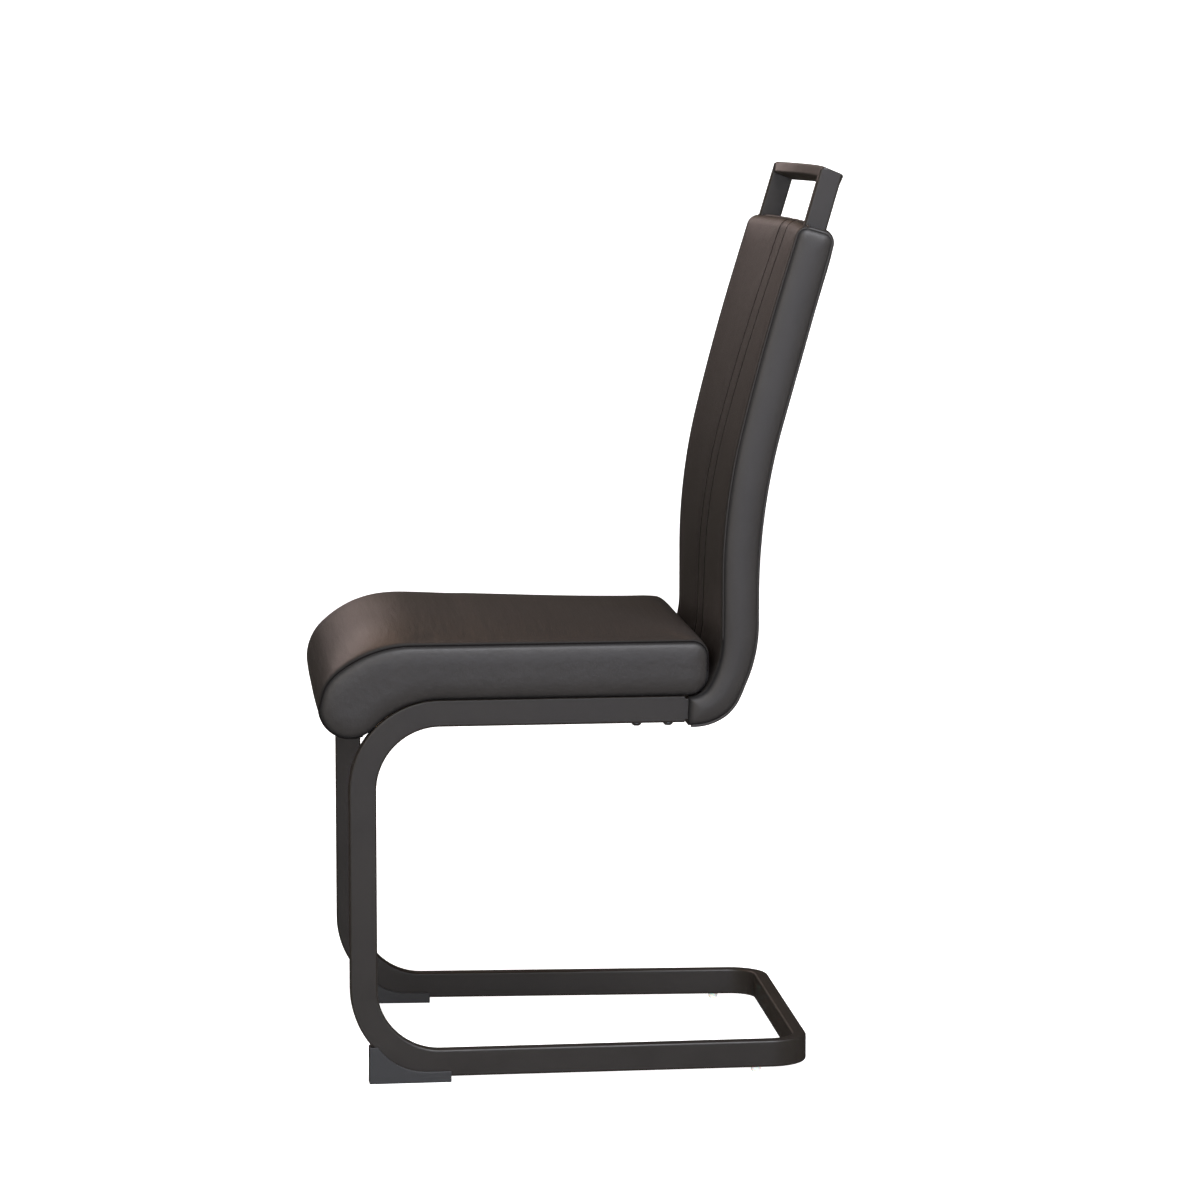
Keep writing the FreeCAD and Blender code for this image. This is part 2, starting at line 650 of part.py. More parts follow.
def bent_upright(inset, overrun):
    """Side view of an upright from inside the rail to its top, its walls moved in by the inset."""
    half = f"(handle_depth / 2 - {inset})"
    start, bend, plumb = "upright_bend_start", "upright_bend", "upright_straight"
    centre_y = f"({start} + {bend} + lean_radius)"
    centre_z = f"({bend} + {plumb})"

    def leaning(sign, length):
        radius = f"(lean_radius - {sign} * {half})"
        return (
            f"{centre_y} - {radius} * cos(lean_angle) + {length} * sin(lean_angle)",
            f"{centre_z} + {radius} * sin(lean_angle) + {length} * cos(lean_angle)",
        )

    top = f"(upright_top + {overrun})"
    return [
        (f"-upright_insert - {overrun}", f"-{half}"),
        (start, f"-{half}"),
        (f"{start} + {bend} + {half}", bend, f"({bend} + {half})", 1),
        (f"{start} + {bend} + {half}", centre_z),
        leaning(1, "0") + (f"(lean_radius - {half})", -1),
        leaning(1, top),
        leaning(-1, top),
        leaning(-1, "0"),
        (f"{start} + {bend} - {half}", centre_z, f"(lean_radius + {half})", 1),
        (f"{start} + {bend} - {half}", bend),
        (start, half, f"({bend} - {half})", -1),
        (f"-upright_insert - {overrun}", half),
    ]


def upright_place(side):
    """Where an upright stands: in the rail's end, turned in with it and leaning in to the handle."""
    turn = FreeCAD.Rotation(FreeCAD.Vector(0, 0, 1), side * size.toe_angle)
    tilt = FreeCAD.Rotation(FreeCAD.Vector(0, 1, 0), -side * math.degrees(TILT))
    return FreeCAD.Placement(FreeCAD.Vector(side * RAIL_END_X, RAIL_END_Y, STUB_Z), turn.multiply(tilt))


def upright_point(side, across, depth, height):
    """A point given beside an upright's axis, at a depth and height of the side view, in the chair."""
    local = FreeCAD.Vector(across, depth - size.seat_rail_length, height - STUB_Z)
    return upright_place(side).multVec(local)


AXIS = FreeCAD.Vector(0, math.sin(LEAN), math.cos(LEAN))
ACROSS_LEAN = FreeCAD.Vector(0, math.cos(LEAN), -math.sin(LEAN))
handle_front = upright_point(1, size.handle_thick / 2, *AXIS_TOP) - ACROSS_LEAN * (size.handle_depth / 2)
HANDLE_ORIGIN = FreeCAD.Vector(0, handle_front.y, handle_front.z)


def mitre_tool(side, name):
    """A block that stands on the mitre's plane and takes the upright's top off."""
    corner = HANDLE_ORIGIN + FreeCAD.Vector(side * size.handle_width / 2, 0, 0)
    normal = (AXIS - FreeCAD.Vector(side, 0, 0)).normalize()
    block = doc.addObject("Part::Box", name)
    for extent in ("Length", "Width", "Height"):
        block.setExpression(extent, bound("handle_depth * 4"))
    turn = FreeCAD.Rotation(ACROSS_LEAN, normal.cross(ACROSS_LEAN), normal)
    reach = size.handle_depth * 2
    block.Placement = FreeCAD.Placement(corner - turn.multVec(FreeCAD.Vector(reach, reach, 0)), turn)
    return block


def make_upright(side, hand):
    body = new_body("UprightTube" + hand)
    pad(body, outline(new_sketch(body, "UprightOutline" + hand, "YZ_Plane"), bent_upright("0", "0")),
        "handle_thick")
    half = size.handle_thick / 2
    round_edges(body, "handle_edge", lambda edge: on_skin(edge, half, "x")
                and abs(edge.Length - size.handle_depth) > 0.01)
    bore = outline(new_sketch(body, "UprightBore" + hand, "YZ_Plane"), bent_upright("tube_wall", "1"))
    pocket(body, bore, "handle_thick - 2 * tube_wall")
    spots = [("0", "-upright_insert / 4"), ("0", "-upright_insert * 3 / 4")]
    drill_up(body, "StubHoles" + hand, spots, "bolt_radius + bolt_room * 4",
             "-handle_depth / 2 - 1", "-handle_depth / 2 + tube_wall + 1")
    body.Placement = upright_place(side)
    cut = doc.addObject("Part::Cut", "Upright" + hand)
    cut.Base = body
    cut.Tool = mitre_tool(side, "Mitre" + hand)
    doc.recompute()
    return keep(cut, "back_upright_" + hand.lower())


def make_handle_bar():
    body = new_body("HandleBar")
    half = "(handle_width / 2)"
    radius = f"(({half} ^ 2 + handle_bow ^ 2) / (2 * handle_bow))"

    def bowed(inset):
        front, rear = inset, f"handle_depth - {inset}"
        return [
            (f"-{half}", front),
            (half, front, radius, -1),
            (half, rear),
            (f"-{half}", rear, radius, 1),
        ]

    sketch = outline(new_sketch(body, "HandlePlan", "XY_Plane"), bowed("0"))
    sketch.setExpression("AttachmentOffset.Base.z", bound("-handle_thick / 2"))
    pad(body, sketch, "handle_thick")
    round_edges(body, "handle_edge", lambda edge: edge.Curve.TypeId == "Part::GeomCircle")
    bore = outline(new_sketch(body, "HandleBore", "XY_Plane"), bowed("tube_wall"))
    bore.setExpression("AttachmentOffset.Base.z", bound("-handle_thick / 2"))
    pocket(body, bore, "handle_thick - 2 * tube_wall")
    for sign, hand in ((1, "Left"), (-1, "Right")):
        end = new_sketch(body, "HandleMitre" + hand, "XZ_Plane")
        corners = [
            (f"{sign} * {half}", "0"),
            (f"{sign} * ({half} - 2 * handle_thick)", "-2 * handle_thick"),
            (f"{sign} * ({half} + 2 * handle_thick)", "-2 * handle_thick"),
            (f"{sign} * ({half} + 2 * handle_thick)", "0"),
        ]
        outline(end, corners)
        pocket(body, end, "4 * handle_depth + 4 * handle_bow")
    body.Placement = FreeCAD.Placement(
        HANDLE_ORIGIN, FreeCAD.Rotation(FreeCAD.Vector(1, 0, 0), -size.lean_angle))
    return keep(body, "handle_bar")


for side, hand in ((1, "Left"), (-1, "Right")):
    make_upright(side, hand)
make_handle_bar()


def side_frame_point(side, along, height):
    """A point in the middle of a side frame's thickness."""
    x = half_width(along) - size.tube_width / 2 * math.cos(TOE)
    y = size.leg_front - size.tube_width / 2 * math.sin(TOE) + along
    return at_point(side * x, y, height)


rail_screw = button_screw("RailScrew", "bolt_radius", "4 * tube_wall + 2 * weld_gap")
rail_bottom = value(RAIL_BOTTOM)
group("upright_screws", rail_screw, [
    side_frame_point(side, value(at), rail_bottom) for side in (1, -1) for at in RAIL_SCREWS
])


# Seat pad: plywood board, foam, sewn cover, piping and the cloth below.

SEAT_TOP = size.seat_rail_top + size.seat_thick
BOARD_HIGH = value(BOARD_TOP)
BOARD_REAR = size.seat_rail_length + size.board_overhang
BEND_CENTRE = (
    size.bend_outer * math.cos(TOE) - size.tube_width * math.sin(TOE),
    size.seat_rail_top - size.bend_outer,
)
BEND_CLEAR = size.bend_outer + size.weld_gap

# The back pad's foot, which the seat pad's rear edge lies in.
PAD_START = size.seat_rail_length + size.pad_start_gap
PAD_LEVEL = 1
NEST = (PAD_START + PAD_LEVEL, size.seat_rail_top - PAD_LEVEL + size.pad_low_radius)

nose_turn = math.radians(size.nose_turn)
nose_height = SEAT_TOP - size.nose_blend * (1 - math.cos(nose_turn)) - size.nose_radius * math.cos(nose_turn)
blend_start = -size.nose_reach + size.nose_blend * math.sin(nose_turn)
blend_start += size.nose_radius * (1 - math.sin(nose_turn))
ahead = -size.nose_reach - BEND_CENTRE[0]
above = nose_height - BEND_CENTRE[1]
under_radius = (ahead ** 2 + above ** 2 - BEND_CLEAR ** 2) / (2 * (BEND_CLEAR - ahead))
hem_angle = math.degrees(math.atan2(-ahead - under_radius, above))

nest_radius = size.pad_low_radius - size.seat_rear_gap
seat_rear = NEST[0] + nest_radius
SEAT_STEPS = [
    (nest_radius, 90),
    SEAT_TOP - size.seat_rear_radius - NEST[1],
    (size.seat_rear_radius, 90),
    seat_rear - size.seat_rear_radius - blend_start,
    (size.nose_blend, size.nose_turn),
    (size.nose_radius, 90 - size.nose_turn),
    (under_radius, 90 + hem_angle),
]
SEAT_START = (NEST[0], NEST[1] - nest_radius)


def seat_route(inset):
    """The seat pad's side view from its lower rear edge over the top to the hem under the nose."""
    return route(SEAT_START, 0, SEAT_STEPS, inset)


def seat_outline(inset):
    """The whole side view: the route, the hollow over the frame's bend and the straight underside."""
    return joined(route(SEAT_START, 0, SEAT_STEPS + [(BEND_CLEAR, -hem_angle)], inset))


def crown(depth, height, spread):
    """How far the seat's skin swells upwards there: nothing at the side seams, most in the middle."""
    along = min(max((depth - size.crown_from) / (seat_rear - size.crown_from), 0), 1)
    swell = size.crown_front + (size.crown_rear - size.crown_front) * along
    rise = min(max((height - BOARD_HIGH) / (SEAT_TOP - BOARD_HIGH), 0), 1)
    return swell * rise * (1 - abs(spread) ** 4)


def seat_space(spread, proud=0.0):
    """Carries a point of the side view to a place across the seat, from -1 at the right to 1 at the left."""
    side = math.copysign(1, spread)

    def to_space(depth, height):
        x = spread * half_width(depth) + side * proud
        return FreeCAD.Vector(x, size.leg_front + depth, height + crown(depth, height, spread))

    return to_space


SPREADS = [-1, -0.92, -0.78, -0.5, 0, 0.5, 0.78, 0.92, 1]


def strip(outer, inner):
    """A thin closed outline between two routes that run side by side."""
    return joined(outer, backwards(inner))


# Sections of a swollen side panel: the tilt of its skin there, in degrees, up to flat.
PANEL_TILTS = (27, 51, 72, 90)
# Places along a piping's route that its curve is laid through.
PIPING_POINTS = 160


def pillow(outline_at, space_at, side, bulge, inward, start):
    """A side panel's swelling. Each section stands further out and is smaller all round.

    Inward moves the whole skin into the pad, and start is where the first section stands.
    """
    wires = [wire(outline_at(inward), space_at(side, start))]
    for tilt in PANEL_TILTS:
        angle = math.radians(tilt)
        out = (bulge - inward) * math.sin(angle)
        inset = size.side_reach * (1 - math.cos(angle)) + inward * math.cos(angle)
        wires.append(wire(outline_at(inset), space_at(side, out)))
    return loft(wires)


def side_cover(outline_at, space_at, side, bulge):
    """A side panel as a shell, open towards the pad."""
    outer = pillow(outline_at, space_at, side, bulge, 0, 0)
    inner = pillow(outline_at, space_at, side, bulge, size.cover_thick, -size.cover_thick)
    return outer.cut(inner)


def piping(label, pieces, to_space):
    """Round piping carried along one smooth curve through a route's points."""
    curve = Part.BSplineCurve()
    points = wire(pieces, to_space).discretize(PIPING_POINTS)
    curve.approximate(Points=points, DegMax=5, Tolerance=size.soft_gap / 10)
    start, along = curve.value(curve.FirstParameter), curve.tangent(curve.FirstParameter)[0]
    ring = Part.Wire(Part.makeCircle(size.welt_radius, start, along))
    soft_piece(label, Part.Wire(curve.toShape()).makePipeShell([ring], True, False))


def board_space(side):
    """Carries a point of the side view to the seat board's edge on one side."""
    def to_space(depth, height):
        x = side * (half_width(depth) - size.board_inset)
        return FreeCAD.Vector(x, size.leg_front + depth, height)

    return to_space


def make_seat_board():
    turn = hem_angle - math.degrees(size.board_front_gap / size.bend_outer)
    steps = [BOARD_REAR - BEND_CENTRE[0], (size.bend_outer, turn)]
    lower = route((BOARD_REAR, size.seat_rail_top), 180, steps)
    upper = route((BOARD_REAR, size.seat_rail_top), 180, steps, -size.board_thick)
    board = loft([wire(strip(lower, upper), board_space(side)) for side in (-1, 1)], True)
    room = size.bolt_room
    for x, y in SEAT_BOLT_SPOTS:
        spot = FreeCAD.Vector(x, y, size.seat_rail_top - 1)
        board = board.cut(Part.makeCylinder(size.tee_barrel_radius + room, size.board_thick + 2, spot))
        seat = FreeCAD.Vector(x, y, BOARD_HIGH - size.tee_flange_thick)
        board = board.cut(Part.makeCylinder(size.tee_flange_radius + room, size.board_thick, seat))
    soft_piece("seat_board", board)


def make_seat_foam():
    inset = size.cover_thick + size.soft_gap
    over_board = size.bend_outer + size.board_thick + size.soft_gap
    edge_turn = math.degrees((size.board_front_gap - size.soft_gap) / size.bend_outer)
    top = BOARD_HIGH + size.soft_gap
    behind = BOARD_REAR + size.soft_gap
    main = route(SEAT_START, 0, SEAT_STEPS + [(BEND_CLEAR, -edge_turn)], inset)
    angle = math.radians(hem_angle - edge_turn)
    bend_start = (
        BEND_CENTRE[0] - over_board * math.sin(angle),
        BEND_CENTRE[1] + over_board * math.cos(angle),
    )
    over = route(bend_start, math.degrees(angle), [(over_board, -math.degrees(angle))])
    rear_end = [[(behind, top), (behind, main[0][0][1])]]
    section = joined(main, over, rear_end)
    foam = loft([wire(section, seat_space(spread)) for spread in SPREADS])
    for side in (1, -1):
        foam = foam.fuse(pillow(seat_outline, seat_space, side, size.side_bulge, inset, 0))
    soft_piece("seat_foam", foam.removeSplitter())


def make_seat_covers():
    section = strip(seat_route(0), seat_route(size.cover_thick))
    soft_piece("seat_top_cover", loft([wire(section, seat_space(spread)) for spread in SPREADS]))
    stand_off = -(size.welt_radius + size.soft_gap)
    welt_steps = SEAT_STEPS[1:-1] + [(under_radius, size.welt_under_turn + hem_angle)]
    welt_start = (seat_rear, NEST[1])
    for side, hand in ((1, "left"), (-1, "right")):
        soft_piece("seat_side_cover_" + hand, side_cover(seat_outline, seat_space, side, size.side_bulge))
        piping("seat_welt_" + hand, route(welt_start, 90, welt_steps, stand_off), seat_space(side))


def make_bottom_cloth():
    body = new_body("BottomCloth")
    inside = f"({HALF} - tube_width / cos(toe_angle) - 1)"
    front, rear = "bend_outer", "seat_rail_length - 4"
    corners = [(1, front), (1, rear), (-1, rear), (-1, front)]
    plan = [(f"{sign} * ({inside} - ({at}) * tan(toe_angle))", at) for sign, at in corners]
    sheet_plan = outline(new_sketch(body, "ClothPlan", "XY_Plane"), plan)
    pad(body, sheet_plan, "cloth_thick")
    spots = [
        (f"{sign} * bolt_spacing / 2", at)
        for sign in (1, -1) for at in ("front_seat_tube_at", REAR_SEAT_TUBE_AT)
    ]
    pocket(body, screw_hole(body, "ClothHoles", spots, "bolt_radius + bolt_room"), "cloth_thick + 2")
    place(body, ("0", "leg_front", "seat_rail_top - cloth_thick / 2"))
    keep(body, "seat_bottom_cloth")


make_seat_board()
make_seat_foam()
make_seat_covers()
make_bottom_cloth()


# Back pad: side view of two faces that rise from the seat rails, swept back in the middle.

FRONT_STEPS = [
    PAD_LEVEL,
    (size.pad_low_radius, size.pad_foot_turn),
    (size.pad_rise_radius, 90 - size.pad_foot_turn),
    size.pad_front_plumb,
    (size.pad_lean_radius, -size.pad_lean_turn),
    (size.pad_upper_radius, -size.pad_upper_turn),
]
REAR_STEPS = [
    size.pad_rear_level,
    (size.pad_rear_low_radius, size.pad_foot_turn),
    (size.pad_rear_rise_radius, 90 - size.pad_foot_turn),
    size.pad_rear_plumb,
    (size.pad_rear_lean_radius, -size.pad_rear_lean),
]
FRONT_START = (PAD_START, size.seat_rail_top - PAD_LEVEL)
REAR_START = (PAD_START, size.seat_rail_top - size.tube_height - PAD_LEVEL)
FRONT_HEADING = 90 - size.pad_lean_turn - size.pad_upper_turn
REAR_HEADING = 90 - size.pad_rear_lean
PAD_TOP = (
    AXIS_TOP[0] - size.pad_top_drop * math.sin(LEAN),
    AXIS_TOP[1] - size.pad_top_drop * math.cos(LEAN),
)
BACK_HALF = half_width(size.seat_rail_length)
BACK_BOARD_HALF = size.handle_width / 2 - size.back_board_inset


def meet(point, heading, drop):
    """Where a straight line meets the pad's top face, lowered along the lean."""
    angle = math.radians(heading)
    base = (PAD_TOP[0] - drop * math.sin(LEAN), PAD_TOP[1] - drop * math.cos(LEAN))
    toward = math.cos(angle) * math.sin(LEAN) + math.sin(angle) * math.cos(LEAN)
    away = (base[0] - point[0]) * math.sin(LEAN) + (base[1] - point[1]) * math.cos(LEAN)
    return (point[0] + away / toward * math.cos(angle), point[1] + away / toward * math.sin(angle))


def rounded(before, corner, after, radius):
    """Three points of the arc that rounds a corner."""
    into = FreeCAD.Vector(before[0] - corner[0], before[1] - corner[1], 0).normalize()
    out = FreeCAD.Vector(after[0] - corner[0], after[1] - corner[1], 0).normalize()
    half = into.getAngle(out) / 2
    reach = radius / math.tan(half)
    bisector = (into + out).normalize()
    middle = bisector * (radius / math.sin(half) - radius)
    places = (into * reach, middle, out * reach)
    return [(corner[0] + spot.x, corner[1] + spot.y) for spot in places]


def pad_faces(inset):
    """The front face, the rounded top and the rear face of the pad's side view, moved in by the inset."""
    front = route(FRONT_START, 0, FRONT_STEPS, -inset)
    rear = route(REAR_START, 0, REAR_STEPS, inset)
    front_end, rear_end = front[-1][-1], rear[-1][-1]
    front_corner = meet(front_end, FRONT_HEADING, inset)
    rear_corner = meet(rear_end, REAR_HEADING, inset)
    front_radius = max(size.pad_front_edge - inset, size.soft_gap)
    rear_radius = max(size.pad_rear_edge - inset, size.soft_gap)
    front_arc = rounded(front_end, front_corner, rear_corner, front_radius)
    rear_arc = rounded(front_corner, rear_corner, rear_end, rear_radius)
    front = front + [[front_end, front_arc[0]], front_arc]
    rear = [[front_arc[-1], rear_arc[0]], rear_arc, [rear_arc[-1], rear_end]] + backwards(rear)
    return front, rear


def pad_outline(inset):
    return joined(*pad_faces(inset))


def sweep_back(height):
    """How far the pad's middle lies behind its sides at a height."""
    return size.pad_sweep * max(height - size.seat_rail_top, 0) / (PAD_TOP[1] - size.seat_rail_top)


def pad_space(spread, proud=0.0):
    """Carries a point of the side view to a place across the back pad."""
    side = math.copysign(1, spread)

    def to_space(depth, height):
        swept = depth + sweep_back(height) * (1 - spread ** 2)
        return FreeCAD.Vector(spread * BACK_HALF + side * proud, size.leg_front + swept, height)

    return to_space


def face_run(face, depth, drop):
    """One face's line moved into the pad, from its plumb part up to a drop below the pad's top."""
    if face == "front":
        pieces, heading = route(FRONT_START, 0, FRONT_STEPS, -depth)[3:], FRONT_HEADING
    else:
        pieces, heading = route(REAR_START, 0, REAR_STEPS, depth)[3:], REAR_HEADING
    end = pieces[-1][-1]
    return pieces + [[end, meet(end, heading, drop)]]


def band(face, near, far, drop):
    """A layer of the pad between two depths behind one of its faces."""
    return strip(face_run(face, near, drop), face_run(face, far, drop))


def spread_between(low, high, count):
    return [low + (high - low) * index / (count - 1) for index in range(count)]


def upright_prism(side, room):
    """A straight block round an upright's leaning part."""
    wide, deep = size.handle_thick + 2 * room, size.handle_depth + 2 * room
    length = size.upright_top
    block = Part.makeBox(wide, deep, length, FreeCAD.Vector(-wide / 2, -deep / 2, -length))
    block.Placement = FreeCAD.Placement(
        FreeCAD.Vector(0, AXIS_TOP[0] - size.seat_rail_length, AXIS_TOP[1] - STUB_Z),
        FreeCAD.Rotation(FreeCAD.Vector(1, 0, 0), -size.lean_angle))
    block.Placement = upright_place(side).multiply(block.Placement)
    return block


def contour_at(height):
    """Depth and lean, in degrees, of the pad's front face at a height."""
    run = wire(face_run("front", 0, 0), lambda depth, level: FreeCAD.Vector(depth, level, 0))
    spots = run.discretize(1200)
    index = min(range(1, len(spots) - 1), key=lambda i: abs(spots[i].y - height))
    along = spots[index + 1] - spots[index - 1]
    return spots[index].x, math.degrees(math.atan2(along.x, along.y))


class BackTube:
    """Place and shape of one bowed cross tube behind the back panel."""

    def __init__(self, height):
        contour, self.lean = contour_at(height)
        lean = math.radians(self.lean)
        depth = size.back_board_depth + size.back_board_thick + size.back_board_gap + size.back_tube_size / 2
        self.depth = contour + depth * math.cos(lean)
        self.height = height - depth * math.sin(lean)
        reach = size.back_tube_size / 2
        ends = [
            upright_point(1, -size.handle_thick / 2, self.depth + move, self.height + rise).x
            for move in (-reach, reach) for rise in (-size.back_tube_tall / 2, size.back_tube_tall / 2)
        ]
        self.half = min(ends) - size.weld_gap
        sweep = sweep_back(height)
        self.end_sweep = sweep * (1 - (self.half / BACK_HALF) ** 2)
        self.bow = sweep - self.end_sweep
        self.radius = (self.half ** 2 + self.bow ** 2) / (2 * self.bow)

    def middle_at(self, x):
        """How far the tube's middle lies behind its ends at a place across the chair."""
        return math.sqrt(self.radius ** 2 - x ** 2) - self.radius + self.bow

    def place(self):
        """The tube's frame: X across, Y through the pad, Z up the lean."""
        spot = FreeCAD.Vector(0, size.leg_front + self.depth + self.end_sweep, self.height)
        return FreeCAD.Placement(spot, FreeCAD.Rotation(FreeCAD.Vector(1, 0, 0), -self.lean))

    def screw_places(self):
        """Frames at the screw heads, their Z running forwards through the tube."""
        forwards = FreeCAD.Rotation(FreeCAD.Vector(1, 0, 0), 90)
        places = []
        for sign in (1, -1):
            x = sign * size.panel_screw_spacing / 2
            y = self.middle_at(x) + size.back_tube_size / 2 + size.weld_gap
            spot = FreeCAD.Placement(FreeCAD.Vector(x, y, 0), forwards)
            places.append(self.place().multiply(spot))
        return places


def make_back_tube(tube, name, label):
    body = new_body(name)

    def bowed(wall):
        front, rear = f"-(back_tube_size / 2 - {wall})", f"back_tube_size / 2 - {wall}"
        return [
            (-tube.half, front),
            (tube.half, front, tube.radius, -1),
            (tube.half, rear),
            (-tube.half, rear, tube.radius, 1),
        ]

    pad(body, outline(new_sketch(body, name + "Plan", "XY_Plane"), bowed("0")), "back_tube_tall")
    bore = outline(new_sketch(body, name + "Bore", "XY_Plane"), bowed("back_tube_wall"))
    pocket(body, bore, "back_tube_tall - 2 * back_tube_wall")
    spots = [(f"{sign} * panel_screw_spacing / 2", "0") for sign in (1, -1)]
    holes = screw_hole(body, name + "Holes", spots, "panel_screw_radius + 2 * bolt_room", "XZ_Plane")
    pocket(body, holes, "8 * back_tube_size")
    body.Placement = tube.place()
    keep(body, label)


low_tube = BackTube(size.back_tube_low)
high_tube = BackTube(size.back_tube_high)
make_back_tube(low_tube, "LowBackTube", "back_cross_tube_lower")
make_back_tube(high_tube, "HighBackTube", "back_cross_tube_upper")
PANEL_SCREW_LENGTH = "back_tube_size + weld_gap + back_board_gap + panel_screw_reach"
panel_screw = button_screw("PanelScrew", "panel_screw_radius", PANEL_SCREW_LENGTH,
                           "panel_head_radius", "panel_head_tall")
PANEL_SCREWS = low_tube.screw_places() + high_tube.screw_places()
group("back_board_screws", panel_screw, PANEL_SCREWS)


def make_back_board():
    near = size.back_board_depth
    section = band("front", near, near + size.back_board_thick, size.back_board_top_drop)
    reach = BACK_BOARD_HALF / BACK_HALF
    board = loft([wire(section, pad_space(spread)) for spread in spread_between(-reach, reach, 7)])
    screw_length = value(PANEL_SCREW_LENGTH)
    for spot in PANEL_SCREWS:
        hole = Part.makeCylinder(size.panel_screw_radius + 2 * size.bolt_room, screw_length + size.weld_gap)
        hole.Placement = spot
        board = board.cut(hole)
    soft_piece("back_board", board)


def make_back_foams():
    near = size.cover_thick + 2 * size.soft_gap
    board_edge = BACK_BOARD_HALF / BACK_HALF
    thin_edge = (BACK_BOARD_HALF + size.back_foam_step) / BACK_HALF
    deep = size.back_board_depth - size.soft_gap
    half_places = spread_between(0, board_edge, 6) + [thin_edge, (thin_edge + 1) / 2, 1]
    places = [-spread for spread in half_places[:0:-1]] + half_places
    wires = []
    for spread in places:
        far = deep if abs(spread) <= board_edge + 0.001 else size.back_foam_thin
        wires.append(wire(band("front", near, far, size.back_foam_top_drop), pad_space(spread)))
    soft_piece("back_front_foam", loft(wires, True))
    rear_band = band("rear", near, near + size.back_rear_foam_thick, size.back_foam_top_drop)
    soft_piece("back_rear_foam", loft([wire(rear_band, pad_space(spread)) for spread in SPREADS]))


def make_foot_foam():
    """Foam that fills the foot of the pad between the uprights, up to the board and the rear foam."""
    inset = size.cover_thick + 2 * size.soft_gap
    front = route(FRONT_START, 0, FRONT_STEPS[:3], -inset)
    rear = route(REAR_START, 0, REAR_STEPS[:3], inset)
    reach = (RAIL_END_X - size.handle_thick / 2 - size.back_foam_step) / BACK_HALF
    section = joined(front, backwards(rear))
    foam = loft([wire(section, pad_space(spread)) for spread in spread_between(-reach, reach, 5)])
    board_end, rear_end = front[-1][-1], rear[-1][-1]
    behind_board = board_end[0] + size.back_board_depth + size.back_board_thick + sweep_back(rear_end[1])
    room = size.pad_rear_low_radius
    for low, rear_side in ((board_end[1], behind_board), (rear_end[1], rear_end[0] + room)):
        corner = FreeCAD.Vector(-BACK_HALF, size.leg_front, low - size.soft_gap)
        foam = foam.cut(Part.makeBox(2 * BACK_HALF, rear_side, room, corner))
    soft_piece("back_foot_foam", foam)


def make_back_covers():
    front_outer, rear_outer = pad_faces(0)
    front_inner, rear_inner = pad_faces(size.cover_thick)
    front_section = strip(front_outer, front_inner)
    seam = size.seam_spacing / 2 / BACK_HALF
    slit = size.soft_gap / 2 / BACK_HALF
    panels = (("right", -1, -seam - slit), ("middle", -seam + slit, seam - slit), ("left", seam + slit, 1))
    for hand, low, high in panels:
        wires = [wire(front_section, pad_space(spread)) for spread in spread_between(low, high, 7)]
        panel = loft(wires)
        for side in (1, -1):
            panel = panel.cut(upright_prism(side, size.soft_gap))
        soft_piece("back_front_cover_" + hand, max(panel.Solids, key=lambda solid: solid.Volume))
    rear_section = strip(rear_outer, rear_inner)
    rear_cover = loft([wire(rear_section, pad_space(spread)) for spread in spread_between(-1, 1, 9)])
    for side in (1, -1):
        rear_cover = rear_cover.cut(upright_prism(side, size.soft_gap))
    soft_piece("back_rear_cover", max(rear_cover.Solids, key=lambda solid: solid.Volume))
    stand_off = size.welt_radius + size.soft_gap
    above_seat = size.pad_foot_turn + size.back_welt_rise
    below = route(FRONT_START, 0, FRONT_STEPS[:2] + [(size.pad_rise_radius, size.back_welt_rise)])
    welt_steps = [(size.pad_rise_radius, 90 - above_seat)] + FRONT_STEPS[3:]
    welt = route(below[-1][-1], above_seat, welt_steps, stand_off)
    end = welt[-1][-1]
    welt.append([end, meet(end, FRONT_HEADING, size.pad_front_edge)])
    for side, hand in ((1, "left"), (-1, "right")):
        soft_piece("back_side_cover_" + hand, side_cover(pad_outline, pad_space, side, size.pad_bulge))
        piping("back_welt_" + hand, welt, pad_space(side))


make_back_board()
make_back_foams()
make_foot_foam()
make_back_covers()


# Feet: plastic shoes under the front bends and round glides under the rear corners.

